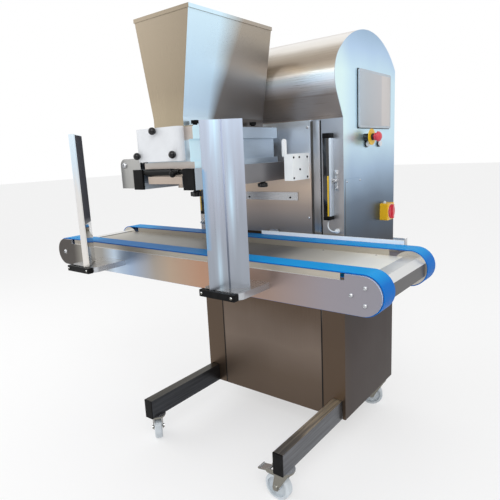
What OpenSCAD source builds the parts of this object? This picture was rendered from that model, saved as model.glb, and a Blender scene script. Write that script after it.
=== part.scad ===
// Cookie depositor: a hopper and a twin roller depositing head over a twin belt tray conveyor,
// carried by a stainless cabinet on two leg tubes with swivel castors.
// X runs along the conveyor, Y from the operator's side to the back, Z up.
// The origin is on the floor, under the middle of the overall box.

/* [Conveyor] */
// Length of a side plate
conv_len = 1529; // [1400:1:1700]
// Width over the two side plates
conv_w = 440; // [400:1:500]
// Height of a side plate, whose ends are half round
plate_h = 113; // [100:1:130]
// Thickness of a side plate
plate_t = 6; // [4:1:10]
// Height of the roller axes above the floor
conv_axis_z = 810; // [760:1:840]
// Depth of the long notch in the top edge of a side plate
notch_depth = 18; // [10:1:24]
// Length of that notch
notch_len = 1312; // [1200:1:1360]
// Width of a belt
belt_w = 74; // [50:1:90]
// Thickness of a belt
belt_t = 3; // [2:0.5:5]
// Height of a belt above the side plates
belt_proud = 3.5; // [2:0.5:6]
// Gap between a belt and the side plate beside it
belt_gap = 2; // [1:0.5:4]
// Length of the sliding rails under the belts
rail_len = 1280; // [1150:1:1290]
// Depth of the sliding rails
rail_h = 22; // [18:1:28]
// Sheet thickness of rails, pan and end covers
pan_t = 2; // [1:0.5:3]
// Depth of the pan's surface below the top of the belts
pan_drop = 24; // [20:1:30]
// Length of the pan between the end covers
pan_len = 1400; // [1300:1:1420]
// Diameter of a roller shaft
shaft_d = 30; // [20:1:36]
// Diameter of a roller journal in its side plate
journal_d = 20; // [12:1:24]
// Gap between the conveyor and the cabinet
conv_gap = 13; // [8:1:20]
// Width of the spacers that carry the conveyor
spacer_w = 70; // [40:1:100]
// Height of the spacers
spacer_h = 60; // [40:1:80]
// Length of the tray guide
guide_len = 600; // [400:1:640]
// Distance of the tray guide from the conveyor's right end
guide_end_in = 104.5; // [90:0.5:160]
// Height of the tray guide
guide_h = 17; // [12:1:24]
// Thickness of the tray guide
guide_t = 6; // [4:1:6]

/* [Cabinet] */
// Width of the cabinet
body_w = 728; // [680:1:800]
// Depth of the cabinet
body_d = 482; // [440:1:540]
// Distance of the cabinet's middle from the conveyor's middle
body_x = 63.5; // [30:0.5:100]
// Height where the straight front ends and the hood begins
waist_z = 1310; // [1304:1:1330]
// Thickness of the cabinet sheet
sheet_t = 2; // [1:0.5:3]
// Width of the front returns of the end panels below the conveyor
return_low_w = 102; // [95:1:120]
// Width of the front returns above the conveyor
return_up_w = 149; // [140:1:160]
// Height where the lower front panel ends and the front plate begins
front_split_z = 878; // [870:1:900]
// Width of the seams beside the lower front panel
seam = 0.8; // [0.5:0.1:1]
// Width of the front plate
front_plate_w = 462; // [452:1:480]
// Thickness of the front plate
front_plate_t = 5; // [3:1:8]
// Height of the upturned flanges of the floor pan
floor_flange = 30; // [20:1:60]

/* [Hood] */
// Radius of the large top arc
hood_top_r = 352; // [345:1:365]
// Distance of the top arc's centre behind the cabinet front
hood_top_y = 218; // [210:1:226]
// Height of the top arc's centre
hood_top_z = 1280; // [1270:1:1290]
// Radius of the small front arc
hood_front_r = 121; // [112:1:126]
// Angle where the two arcs join, about the top arc's centre
hood_join_a = 132.5; // [129:0.5:135]

/* [Legs and castors] */
// Height from the floor to the underside of the leg tubes
castor_h = 126; // [122:1:140]
// Width of a leg tube
leg_w = 40; // [30:1:50]
// Height of a leg tube
leg_h = 80; // [60:1:90]
// Wall of a leg tube
leg_wall = 3; // [2:0.5:5]
// Distance of a leg tube's middle from the cabinet's side
leg_inset = 35.5; // [30:0.5:54]
// Length of the legs in front of the cabinet
leg_reach = 427; // [380:1:460]
// Thickness of the plastic end caps
cap_t = 5; // [3:1:8]
// Distance of a swivel axis from the front end of the leg
castor_in = 40; // [38:1:60]
// Distance of the rear swivel axes from the cabinet's back
castor_back = 72; // [60:1:90]
// Diameter of a castor wheel
wheel_d = 100; // [90:1:102]
// Width of a castor wheel
wheel_w = 32; // [26:1:38]
// Distance that a wheel trails behind its swivel axis
castor_trail = 30; // [24:1:36]
// Diameter of a wheel axle
axle_d = 12; // [8:1:14]

/* [Head] */
// Distance of the head's front wall in front of the cabinet
head_reach = 513; // [500:1:530]
// Distance of the head's back wall in front of the cabinet
head_back_gap = 59; // [50:1:70]
// Width of the head's top frame
head_top_w = 234; // [220:1:240]
// Width of the head's roller housing
head_mid_w = 200; // [190:1:210]
// Width of the head's lower plate
head_low_w = 234; // [226:1:250]
// Height of the top of the head
head_top_z = 1290; // [1284:1:1296]
// Depth of the top frame
head_top_h = 38; // [30:1:44]
// Depth of the roller housing
head_mid_h = 69; // [66:1:76]
// Depth of the lower plate
head_low_h = 20; // [14:1:24]
// Thickness of the head's front wall
head_wall_f = 13; // [10:1:18]
// Thickness of the head's back wall
head_wall_b = 20; // [14:1:26]
// Width of the plastic front cover
cover_w = 207; // [196:1:216]
// Distance of the cover's middle from the head's middle, towards the left
cover_off = 24; // [10:1:28]
// Height of the plastic front cover
cover_h = 106; // [96:1:116]
// Thickness of the plastic front cover
cover_t = 25; // [20:1:30]
// Corner radius of the plastic front cover
cover_r = 20; // [5:1:22]
// Distance between the two lower cover knobs
cover_knob_span = 168; // [150:1:172]
// Diameter of a ball knob
ball_d = 24; // [18:1:28]
// Diameter of a feed roller
roller_d = 60; // [54:1:62]
// Distance between the feed rollers' axes
roller_span = 64; // [63:1:68]
// Diameter of the feed roller journals
roller_journal_d = 24; // [18:1:30]
// Number of flutes round a feed roller
flutes = 12; // [8:1:16]
// Width of the throat under the hopper
throat_w = 124; // [110:1:126]
// Width of the slot between rollers and nozzles
slot_w = 24; // [16:1:30]
// Width of the die block
die_w = 160; // [140:1:170]
// Depth of the die block
die_h = 48; // [44:1:56]
// Number of nozzles in a row
nozzles = 6; // [4:1:7]
// Distance between nozzles
nozzle_pitch = 65; // [50:1:66]
// Outside diameter of a nozzle
nozzle_d = 28; // [24:1:36]
// Bore of a nozzle
nozzle_bore = 18; // [12:1:20]
// Length of a nozzle
nozzle_len = 17; // [8:1:20]
// Distance of a side bar's outer face from the head's middle
bar_x = 140; // [132:1:150]
// Width of a side bar
bar_w = 36; // [30:1:42]
// Height of a side bar
bar_h = 66; // [60:1:70]
// Width of a black end plate
clamp_w = 45; // [35:1:50]
// Distance that the bars' black end plates stand in front of the head
clamp_d = 34; // [33:1:40]
// Thickness of a black end plate
clamp_t = 8; // [5:1:8]
// Diameter of the sleeve on the clamp rod
sleeve_d = 22; // [16:1:22]
// Diameter of the clamp rod
rod_d = 12; // [8:1:14]
// Width of a guide block
guide_block_w = 37; // [30:1:44]
// Height of a guide block
guide_block_h = 96; // [80:1:110]
// Length of a guide block in front of the front plate
guide_block_len = 115; // [90:1:140]
// Distance of a guide block from the head's middle
guide_block_x = 187; // [180:1:190]
// Height of the prong beside a guide block
prong_h = 63; // [50:1:70]
// Width of the prong
prong_w = 12; // [10:1:18]
// Distance of the side guard's outer face from its pin
guard_w = 120; // [110:1:126]
// Height of the side guard
guard_h = 102; // [90:1:110]
// Corner radius of the side guard
guard_r = 24; // [15:1:40]
// Sheet thickness of the side guard
guard_t = 2; // [1:0.5:3]

/* [Hopper] */
// Width of the hopper at its top
hopper_top_w = 249; // [220:1:280]
// Width of the hopper at its foot
hopper_foot_w = 136; // [130:1:146]
// Length of the hopper along the rollers
hopper_len = 421; // [410:1:424]
// Height of the straight collar
collar_h = 32; // [20:1:40]
// Height of the tapered part
taper_h = 318; // [260:1:360]
// Wall of the hopper
hopper_wall = 2; // [1:0.5:3]
// Height of the folded rim
rim_h = 12; // [8:1:20]
// Thickness of the foot flange
flange_t = 4; // [3:1:6]
// Diameter of a hopper knob
hopper_knob_d = 24; // [18:1:28]

/* [Control panel] */
// Width of the touch panel
hmi_w = 297; // [250:1:310]
// Height of the touch panel
hmi_h = 212; // [180:1:220]
// Height of its middle above the floor
hmi_z = 1381; // [1370:1:1390]
// Distance of its middle behind the cabinet front
hmi_y = 266; // [255:1:280]
// Height of the emergency stop
estop_z = 1240; // [1236:1:1245]
// Distance of the emergency stop behind the cabinet front
estop_y = 178; // [130:1:190]
// Diameter of the emergency stop's yellow ring
estop_ring_d = 61; // [50:1:64]
// Diameter of the red mushroom
estop_d = 39; // [34:1:45]
// Travel of the emergency stop
estop_travel = 5; // [3:0.5:6]
// Height of the start and stop buttons
button_z = 1215; // [1205:1:1216]
// Distance of the start button behind the cabinet front
start_y = 192; // [186:1:220]
// Distance of the stop button behind the cabinet front
stop_y = 309; // [280:1:330]
// Diameter of a push button's cap
button_d = 22; // [16:1:24]
// Travel of a push button
button_travel = 4; // [2:0.5:5]
// Width and height of the main switch box
switch_w = 71; // [60:1:80]
// Depth of the main switch box
switch_d = 33; // [25:1:40]
// Height of the main switch's middle
switch_z = 931; // [910:1:950]
// Distance of the main switch's middle behind the cabinet front
switch_y = 366; // [350:1:400]

/* [Light curtain] */
// Length of a light curtain
curtain_len = 315; // [280:1:340]
// Height of its lower end
curtain_z = 943; // [930:1:960]
// Width of a light curtain
curtain_w = 25; // [20:1:32]
// Depth of a light curtain
curtain_d = 39; // [28:1:45]
// Distance of the light curtains from the cabinet's middle
curtain_x = 312.5; // [300:0.5:322]
// Height of the mirror posts
post_h = 485; // [400:1:520]
// Width of a mirror post
post_w = 120; // [90:1:122]
// Thickness of a mirror post's back
post_t = 18; // [10:1:24]
// Thickness of the mirror glass
mirror_t = 3; // [2:1:5]
// Half the distance between the mirror posts
post_half_span = 348; // [320:1:380]
// Distance of the posts' middle from the conveyor's middle
post_mid_x = -17; // [-40:1:10]
// Distance of the post's middle in front of the conveyor
post_reach = 102; // [90:1:104]
// Width of a post bracket
bracket_w = 146; // [130:1:180]
// Length of a post bracket in front of the conveyor
bracket_len = 145; // [140:1:180]
// Thickness of a post bracket
bracket_t = 20; // [12:1:25]
// Height of the top of the post brackets
bracket_z = 811; // [790:1:820]
// Length of a bracket handle
handle_len = 136; // [124:1:140]
// Distance that a handle stands out of its bracket
handle_out = 20; // [18:1:30]
// Thickness of a handle's bar
handle_t = 8; // [6:1:9]

/* [Clearances] */
// Radial running clearance of shafts in their bores
run_fit = 0.05; // [0.02:0.01:0.09]
// Gap between parts that turn or slide past each other
run_gap = 0.4; // [0.3:0.1:0.6]

/* [Hidden] */
$fn = 64;

// How far a cut runs past the faces that it opens, and a piece into the one it is joined to
cut = 1;

// Depth layout: Y runs from the handles' front to the cabinet's back, and its middle is zero
reach = conv_gap + conv_w + bracket_len + handle_out;
front_y = (reach - body_d) / 2;
back_y = front_y + body_d;
plate_face_y = front_y - front_plate_t;

// Conveyor layout
plate_r = plate_h / 2;
axle_x = conv_len / 2 - plate_r;
belt_or = plate_r + belt_proud;
belt_ir = belt_or - belt_t;
belt_top_z = conv_axis_z + belt_or;
notch_z = conv_axis_z + plate_r - notch_depth;
rear_out_y = front_y - conv_gap;
rear_in_y = rear_out_y - plate_t;
front_out_y = rear_out_y - conv_w;
front_in_y = front_out_y + plate_t;
belt_f0 = front_in_y + belt_gap;
belt_f1 = belt_f0 + belt_w;
belt_r1 = rear_in_y - belt_gap;
belt_r0 = belt_r1 - belt_w;
rail_top_z = belt_top_z - belt_t - run_gap;
pan_z = belt_top_z - pan_drop;
pulley_r = belt_ir - run_gap;
journal_r = journal_d / 2;
journal_skin = 2;
shaft_r = shaft_d / 2;
nose_top = 27;
nose_low = 50;
nose_half = 21;
nose_fold = 17;
nose_lap = 10;
fold_top = 0.4;
fold_low = 0.6;
guide_x0 = conv_len / 2 - guide_end_in - guide_len;
guide_z = conv_axis_z + plate_r;
guide_bracket_w = 40;
guide_bracket_t = 3;
guide_bracket_low = 70;
guide_bracket_up = 8;
spacer_x = 202;

// Cabinet layout
left_x = body_x - body_w / 2;
right_x = body_x + body_w / 2;
bottom_z = castor_h;
hood_front_y = hood_top_y + (hood_top_r - hood_front_r) * cos(hood_join_a);
hood_front_z = hood_top_z + (hood_top_r - hood_front_r) * sin(hood_join_a);
hood_back_a = acos((body_d - hood_top_y) / hood_top_r);
shoulder_z = hood_top_z + hood_top_r * sin(hood_back_a);
waist_d = norm([hood_front_y, hood_front_z - waist_z]);
waist_len = sqrt(waist_d * waist_d - hood_front_r * hood_front_r);
waist_a = atan2(hood_front_z - waist_z, hood_front_y) + asin(hood_front_r / waist_d);
hood_low_a = waist_a + 90;
hood_seam_a = asin(run_fit / hood_front_r);
arc_step = 3;
leg_gap = 1.5;
leg_x = body_w / 2 - leg_inset;
leg_front_y = front_y - leg_reach;
leg_back_y = back_y - sheet_t;
cap_plug = 15;
cap_fit = 0.2;

// Castor layout, along the wheel's own trailing direction
head_disc_r = 36;
head_disc_t = 4;
stem_r = 8;
fork_top_z = castor_h - head_disc_t - run_gap;
fork_t = 5;
fork_r = 33;
arm_t = 3;
arm_gap = 2;
arm_foot_r = 13;
arm_back_x = fork_r * 0.8;
arm_front_x = fork_r * 0.9;
arm_half_y = wheel_w / 2 + arm_gap;
axle_r = axle_d / 2;
axle_head_r = 9;
axle_head_t = 5;
wheel_r = wheel_d / 2;
wheel_edge = 5;
hub_r = 15;
web_half = 6;
wheel_rim = 12;
rim_in_r = wheel_r - wheel_rim;
pedal_pin_r = 4;
pedal_out = 32;
pedal_drop = 16;
pedal_x = castor_trail + pedal_out;
pedal_z = fork_top_z - pedal_drop;
pedal_len = 42;
pedal_t = 4;
pedal_slope = 10;
ear_r = 8;
castor_front_y = leg_front_y + castor_in;
castor_rear_y = back_y - castor_back;
left_leg_x = body_x - leg_x;
right_leg_x = body_x + leg_x;
swivel_fr = 180;
swivel_fl = 141;
swivel_rr = 203;
swivel_rl = 20;

// Head layout
head_front_y = front_y - head_reach;
head_back_y = front_y - head_back_gap;
head_mid_top_z = head_top_z - head_top_h;
head_low_top_z = head_mid_top_z - head_mid_h;
head_low_z = head_low_top_z - head_low_h;
roller_z = head_low_top_z + head_mid_h / 2;
roller_r = roller_d / 2;
roller_jr = roller_journal_d / 2;
roller_y0 = head_front_y + head_wall_f;
roller_y1 = head_back_y - head_wall_b;
roller_room = 0.7;
roller_bore_r = roller_r + roller_room;
flute_r = 5;
flute_out = 1;
cover_front_y = head_front_y - cover_t;
cover_lift = 4;
cover_z = head_low_top_z + cover_lift;
cover_x = body_x - cover_off;
knob_in = 20;
knob_stud_r = 4;
knob_stud = 3;
ball_r = ball_d / 2;
ball_flat = 0.8;
die_front_out = 7;
die_back_in = 11;
die_front_y = head_front_y - die_front_out;
die_back_y = head_back_y - die_back_in;
die_z = head_low_z - die_h;
die_mid_y = (die_front_y + die_back_y) / 2;
lip_out = 22;
lip_y = head_front_y - lip_out;
lip_h = 24;
bar_z = head_low_z - bar_h;
clamp_y = head_front_y - clamp_d;
sleeve_gap = 0.5;
rod_skin = 14;
rod_drop = 10;
rod_y = die_front_y - sleeve_d / 2 - sleeve_gap;
rod_z = head_low_z - rod_drop;
rod_r = rod_d / 2;
sleeve_x0 = run_gap - (bar_x - clamp_w);
sleeve_x1 = 38;
clamp_collar_r = 9;
clamp_collar_x = 60;
lever_r = 5;
lever_len = 16;
lever_tilt = 12;
lever_ball = 0.9;
lever_end = 4;
guide_block_drop = 2;
guide_block_z = bar_z - guide_block_drop;
prong_seat = 9;
prong_d = 14;
prong_in = 5;
prong_point = 5;
guard_pin_in = 12;
guard_pin_up = 29;
guard_pin_x = -bar_x + guard_pin_in;
guard_pin_z = head_low_z + guard_pin_up;
guard_pin_r = 4;
guard_knuckle_r = 8;
guard_front_in = 1;
guard_back_gap = 6;
guard_end_gap = 2;
guard_y0 = head_front_y + guard_front_in;
guard_y1 = plate_face_y - guide_block_len - guard_back_gap;
guard_end_in = -bar_x - guard_end_gap;
lug_t = 14;
lug_in = 40;
throat_y0 = roller_y0;
throat_y1 = roller_y1;

// Hopper layout
hopper_mid_y = (throat_y0 + throat_y1) / 2;
hopper_y0 = hopper_mid_y - hopper_len / 2;
hopper_y1 = hopper_mid_y + hopper_len / 2;
hopper_z = head_top_z;
taper_z = hopper_z + collar_h;
hopper_top_z = taper_z + taper_h;
rim_t = 1.5;
flange_in = 8;
flange_out = (head_top_w - hopper_foot_w) / 2 - flange_in;
hopper_knob_x = hopper_foot_w / 2 + flange_out / 2;
hopper_knob_h = 16;
hopper_knob_neck = 0.35;
hopper_knob_neck_r = 0.3;
hopper_knob_dent_r = 3;
hopper_knob_dent_out = 1.5;
hopper_knob_front_in = 30;
hopper_knob_rear_in = 90;
hopper_knob_y0 = hopper_y0 + hopper_knob_front_in;
hopper_knob_y1 = hopper_y1 - hopper_knob_rear_in;

// Drive inside the cabinet
gear_teeth = 22;
gear_r = roller_span / 2;
tooth_out = 2.3;
tooth_in = 3.2;
tooth_top = 0.13;
tooth_foot = 0.29;
gear_tip = gear_r + tooth_out;
gear_root = gear_r - tooth_in;
gear_w = 22;
gear_clear = 1;
gear_in = 24;
gear_y = front_y + gear_in;
box_wall = 16;
box_half_w = roller_span / 2 + gear_tip + box_wall / 2;
box_half_h = gear_tip + box_wall / 2;
box_len = 150;
gear_room = 32;
motor_r = 66;
motor_len = 190;
motor_neck_r = 40;
motor_neck = 20;
bearing_len = 22;
drive_end_y = gear_y + gear_room + bearing_len;
plate_hole_gap = 4;
plate_hole_r = roller_jr + plate_hole_gap;

// Control layout
hmi_proud = 9;
hmi_border = 22;
hmi_border_low = 34;
hmi_r = 8;
hmi_glass_t = 2;
collar_r = 13.5;
collar_len = 28;
ring_t = 3;
neck_r = 13;
neck_len = 8;
estop_stem_r = 8;
estop_skirt_r = 14.5;
estop_skirt = 10;
estop_edge = 2;
estop_h = 15;
button_rim = 3;
button_rim_t = 5;
button_proud = 12;
button_stem_r = 5;
switch_knob_r = 30;
switch_knob_h = 5;
switch_grip_w = 14;
switch_grip_h = 6;
switch_plate_r = 33;
switch_plate_t = 2;
switch_corner = 5;
switch_socket = 8;
switch_stem = 7;
service_w = 132;
service_h = 290;
service_top_z = 1090;
service_y = 12;
service_t = 1.5;
bar_plate_w = 344;
bar_plate_h = 32;
bar_plate_t = 5;
bar_plate_z = 1011;

// Light curtain layout
curtain_clamp_w = 27;
curtain_clamp_h = 79;
curtain_clamp_t = 18;
curtain_clamp_in = 104;
cable_r = 2.5;
gland_r = 9;
gland_len = 22;
gland_in = 43;
gland_dx = 27;
gland_nut = 0.6;
gland_neck = 0.7;
lead_bend = 18;
lead_out = 11;
lead_drop = 35;
cable_steps = 14;
cable_sides = 8;
post_y = front_out_y - post_reach;
bracket_front_y = front_out_y - bracket_len;
bracket_corner = 22;
post_groove = 3;
handle_h = 20;
handle_foot = 22;

// A box between two corners
module block(lo, hi) {
    translate(lo) cube(hi - lo);
}

// A flat outline in X and Z, carried from y0 to y1
module xz(y0, y1) {
    translate([0, y1, 0]) rotate([90, 0, 0]) linear_extrude(y1 - y0) children();
}

// A flat outline in Y and Z, carried from x0 to x1
module yz(x0, x1) {
    translate([x0, 0, 0]) rotate([90, 0, 90]) linear_extrude(x1 - x0) children();
}

// Round bars along X and Y
module xbar(r, x0, x1) {
    translate([x0, 0, 0]) rotate([0, 90, 0]) cylinder(r = r, h = x1 - x0);
}
module ybar(r, y0, y1) {
    translate([0, y0, 0]) rotate([-90, 0, 0]) cylinder(r = r, h = y1 - y0);
}

// A rectangle with round corners, made of true arcs
module round_rect(lo, hi, r) {
    translate([lo[0] + r, lo[1]]) square([hi[0] - lo[0] - 2 * r, hi[1] - lo[1]]);
    translate([lo[0], lo[1] + r]) square([hi[0] - lo[0], hi[1] - lo[1] - 2 * r]);
    for (x = [lo[0] + r, hi[0] - r], y = [lo[1] + r, hi[1] - r])
        translate([x, y]) circle(r = r);
}

// Points of an arc from angle a to angle b
function arc(c, r, a, b, n) = [for (i = [0:n]) c + r * [cos(a + (b - a) * i / n), sin(a + (b - a) * i / n)]];

// Stadium outline of the conveyor side, with round ends of radius r
module stadium(r) {
    translate([-axle_x, -r]) square([2 * axle_x, 2 * r]);
    for (x = [-axle_x, axle_x])
        translate([x, 0]) circle(r = r);
}

// Outline of an end panel: a straight cabinet side that swells into the hood
function panel_outline() = concat(
    [[body_d, bottom_z], [0, bottom_z], [0, waist_z]],
    arc([hood_front_y, hood_front_z], hood_front_r, hood_low_a, hood_join_a,
        ceil((hood_low_a - hood_join_a) / arc_step)),
    arc([hood_top_y, hood_top_z], hood_top_r, hood_join_a, hood_back_a,
        ceil((hood_join_a - hood_back_a) / arc_step))
);

// An end panel, drawn as the right one and mirrored for the left one
module end_panel() {
    half = body_w / 2;
    difference() {
        union() {
            translate([0, front_y, 0]) yz(half - sheet_t, half) polygon(panel_outline());
            block([half - return_low_w, front_y, bottom_z], [half, front_y + sheet_t, front_split_z]);
            block([half - return_up_w, front_y, front_split_z], [half, front_y + sheet_t, waist_z]);
        }
        block([leg_x - leg_w / 2 - leg_gap, front_y - cut, bottom_z - cut],
              [leg_x + leg_w / 2 + leg_gap, front_y + sheet_t + cut, bottom_z + leg_h + leg_gap]);
    }
}
module right_end_panel() {
    color("lightsteelblue") difference() {
        translate([body_x, 0, 0]) end_panel();
        for (y = [start_y, stop_y])
            at_button(y) xbar(button_stem_r + run_gap, -sheet_t - cut, cut);
    }
}
module left_end_panel() {
    color("lightsteelblue") translate([body_x, 0, 0]) mirror([1, 0, 0]) end_panel();
}

// Lower front of the cabinet, between the two end panels' returns
module cabinet_front_panel() {
    half = body_w / 2 - return_low_w - seam;
    color("tan") block([body_x - half, front_y, bottom_z], [body_x + half, front_y + sheet_t, front_split_z]);
}

// Plate that carries the head, laid on the returns of the end panels
module front_plate() {
    half = front_plate_w / 2;
    color("silver") difference() {
        block([body_x - half, plate_face_y, front_split_z], [body_x + half, front_y, waist_z]);
        for (s = [-1, 1])
            translate([body_x + s * roller_span / 2, 0, roller_z])
                ybar(plate_hole_r, plate_face_y - cut, front_y + cut);
    }
}

// Curved hood between the end panels: three sheets, edge to edge
module hood_cover() {
    x0 = left_x + sheet_t;
    x1 = right_x - sheet_t;
    color("silver") translate([0, front_y, 0]) {
        translate([0, 0, waist_z]) rotate([waist_a - 90, 0, 0])
            block([x0, 0, 0], [x1, sheet_t, waist_len - run_fit]);
        hood_arc([hood_front_y, hood_front_z], hood_front_r, hood_join_a + hood_seam_a, hood_low_a, x0, x1);
        hood_arc([hood_top_y, hood_top_z], hood_top_r, hood_back_a, hood_join_a, x0, x1);
    }
}
module hood_arc(c, r, a, b, x0, x1) {
    translate([0, c[0], c[1]]) rotate([90, 0, 90]) rotate([0, 0, a])
        rotate_extrude(angle = b - a) translate([r - sheet_t, x0]) square([sheet_t, x1 - x0]);
}

// Back of the cabinet, between the end panels and below the hood's shoulder
module rear_cover() {
    color("silver") block([left_x + sheet_t, back_y - sheet_t, bottom_z],
                          [right_x - sheet_t, back_y, shoulder_z - sheet_t]);
}

// Floor of the cabinet with upturned flanges that meet the legs and the panels
module floor_pan() {
    half = leg_x - leg_w / 2;
    y0 = front_y + sheet_t;
    y1 = back_y - sheet_t;
    color("gray") difference() {
        block([body_x - half, y0, bottom_z], [body_x + half, y1, bottom_z + floor_flange]);
        block([body_x - half + sheet_t, y0 + sheet_t, bottom_z + sheet_t],
              [body_x + half - sheet_t, y1 - sheet_t, bottom_z + floor_flange + cut]);
    }
}

// Rectangular leg tubes that run under the cabinet from front to back
module leg_tubes() {
    color("dimgray") for (x = [left_leg_x, right_leg_x])
        difference() {
            block([x - leg_w / 2, leg_front_y, bottom_z], [x + leg_w / 2, leg_back_y, bottom_z + leg_h]);
            block([x - leg_w / 2 + leg_wall, leg_front_y - cut, bottom_z + leg_wall],
                  [x + leg_w / 2 - leg_wall, leg_back_y - leg_wall, bottom_z + leg_h - leg_wall]);
        }
}

// Plastic plugs in the front ends of the leg tubes
module leg_end_caps() {
    in = leg_wall + cap_fit;
    color("black") for (x = [left_leg_x, right_leg_x]) {
        block([x - leg_w / 2, leg_front_y - cap_t, bottom_z], [x + leg_w / 2, leg_front_y, bottom_z + leg_h]);
        block([x - leg_w / 2 + in, leg_front_y, bottom_z + in],
              [x + leg_w / 2 - in, leg_front_y + cap_plug, bottom_z + leg_h - in]);
    }
}

// Places a castor drawn about its swivel axis, trailing along +X
module at_castor(x, y, a) {
    translate([x, y, 0]) rotate([0, 0, a]) children();
}
module castor_head() {
    translate([0, 0, castor_h - head_disc_t]) cylinder(r = head_disc_r, h = head_disc_t);
    translate([0, 0, fork_top_z - fork_t]) cylinder(r = stem_r, h = castor_h - fork_top_z + fork_t - cut);
}
module castor_heads() {
    color("lightgray") for (x = [left_leg_x, right_leg_x], y = [castor_front_y, castor_rear_y])
        at_castor(x, y, 0) castor_head();
}

// One cheek of a fork: a tapered arm from the top plate to the axle
module fork_arm(brake) {
    top = fork_top_z - fork_t;
    difference() {
        union() {
            polygon([[-arm_back_x, top + cut], [arm_front_x, top + cut], [castor_trail + arm_foot_r, wheel_r],
                     [castor_trail - arm_foot_r, wheel_r]]);
            translate([castor_trail, wheel_r]) circle(r = arm_foot_r);
            if (brake) {
                translate([pedal_x, pedal_z]) circle(r = ear_r);
                polygon([[0, top + cut], [arm_back_x, top + cut], [pedal_x, pedal_z + ear_r],
                         [pedal_x, pedal_z - ear_r], [castor_trail, pedal_z - ear_r]]);
            }
        }
        if (brake)
            translate([pedal_x, pedal_z]) circle(r = pedal_pin_r + run_fit);
    }
}
module castor_fork(brake) {
    color("lightgray") {
        difference() {
            translate([0, 0, fork_top_z - fork_t]) cylinder(r = fork_r, h = fork_t);
            translate([0, 0, fork_top_z - fork_t - cut]) cylinder(r = stem_r + run_fit, h = fork_t + 2 * cut);
        }
        xz(arm_half_y, arm_half_y + arm_t) fork_arm(brake);
        xz(-arm_half_y - arm_t, -arm_half_y) fork_arm(brake);
        translate([castor_trail, 0, wheel_r]) {
            ybar(axle_r, -arm_half_y - arm_t, arm_half_y + arm_t);
            ybar(axle_head_r, arm_half_y + arm_t, arm_half_y + arm_t + axle_head_t);
            ybar(axle_head_r, -arm_half_y - arm_t - axle_head_t, -arm_half_y - arm_t);
        }
    }
}

// Nylon wheel with a dished web and a bored hub
module castor_wheel() {
    half = wheel_w / 2;
    r = axle_r + run_fit;
    color("whitesmoke") translate([castor_trail, 0, wheel_r]) rotate([-90, 0, 0]) rotate_extrude()
        polygon([[r, -half], [hub_r, -half], [hub_r, -web_half], [rim_in_r, -web_half], [rim_in_r, -half],
                 [wheel_r - wheel_edge, -half], [wheel_r, -half + wheel_edge], [wheel_r, half - wheel_edge],
                 [wheel_r - wheel_edge, half], [rim_in_r, half], [rim_in_r, web_half], [hub_r, web_half],
                 [hub_r, half], [r, half]]);
}

// Foot lever of a brake, on a pin between the fork's ears
module brake_pedal() {
    half = arm_half_y - run_gap;
    color("silver") translate([pedal_x, 0, pedal_z]) {
        ybar(pedal_pin_r, -arm_half_y - arm_t, arm_half_y + arm_t);
        rotate([0, pedal_slope, 0]) {
            block([0, -half, -pedal_pin_r], [pedal_len, half, pedal_t - pedal_pin_r]);
            translate([pedal_len, 0, 0]) ybar(pedal_pin_r, -half, half);
        }
    }
}

// Conveyor side plates with half round ends; the near one has a notched top edge and a blind bore
module side_plate(y0, near) {
    difference() {
        translate([0, 0, conv_axis_z]) xz(y0, y0 + plate_t) stadium(plate_r);
        if (near)
            block([-notch_len / 2, y0 - cut, notch_z],
                  [notch_len / 2, y0 + plate_t + cut, conv_axis_z + plate_r + cut]);
        for (s = [-1, 1])
            translate([s * axle_x, 0, conv_axis_z])
                ybar(journal_r + run_fit, near && s > 0 ? y0 + journal_skin : y0 - cut, y0 + plate_t + cut);
    }
}
module conveyor_side_plates() {
    color("gainsboro") {
        side_plate(front_out_y, true);
        side_plate(rear_in_y, false);
    }
}

// Two endless belts round the end rollers
module belts() {
    color("dodgerblue") for (y = [belt_f0, belt_r0])
        translate([0, 0, conv_axis_z]) xz(y, y + belt_w) difference() {
            stadium(belt_or);
            stadium(belt_ir);
        }
}

// Folded channels that carry the upper runs of the belts
module belt_rail(y0, y1) {
    difference() {
        block([-rail_len / 2, y0, rail_top_z - rail_h], [rail_len / 2, y1, rail_top_z]);
        block([-rail_len / 2 - cut, y0 + pan_t, rail_top_z - rail_h - cut],
              [rail_len / 2 + cut, y1 - pan_t, rail_top_z - pan_t]);
    }
}
module belt_rails() {
    color("gainsboro") {
        belt_rail(front_in_y, belt_f1);
        belt_rail(belt_r0, rear_in_y);
    }
}

// Sheet between the two belts
module bed_pan() {
    color("wheat") block([-pan_len / 2, belt_f1, pan_z - pan_t], [pan_len / 2, belt_r0, pan_z]);
}

// Folded covers over the roller shafts, between the belts
function nose(t) = [
    [pan_len / 2 - axle_x - nose_lap, pan_z - conv_axis_z + pan_t - t],
    [nose_top - t * fold_top, pan_z - conv_axis_z + pan_t - t],
    [nose_low - t, nose_half - t * fold_low],
    [nose_low - t, -nose_half + t * fold_low],
    [nose_top - t * fold_top, -nose_half - nose_fold + t],
    [-nose_fold, -nose_half - nose_fold + t]
];
function reversed(p) = [for (i = [len(p) - 1:-1:0]) p[i]];
module end_cover() {
    translate([axle_x, 0, conv_axis_z]) xz(belt_f1 + run_gap, belt_r0 - run_gap)
        polygon(concat(nose(0), reversed(nose(pan_t))));
}
module end_covers() {
    color("lightgray") {
        end_cover();
        mirror([1, 0, 0]) end_cover();
    }
}

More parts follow.
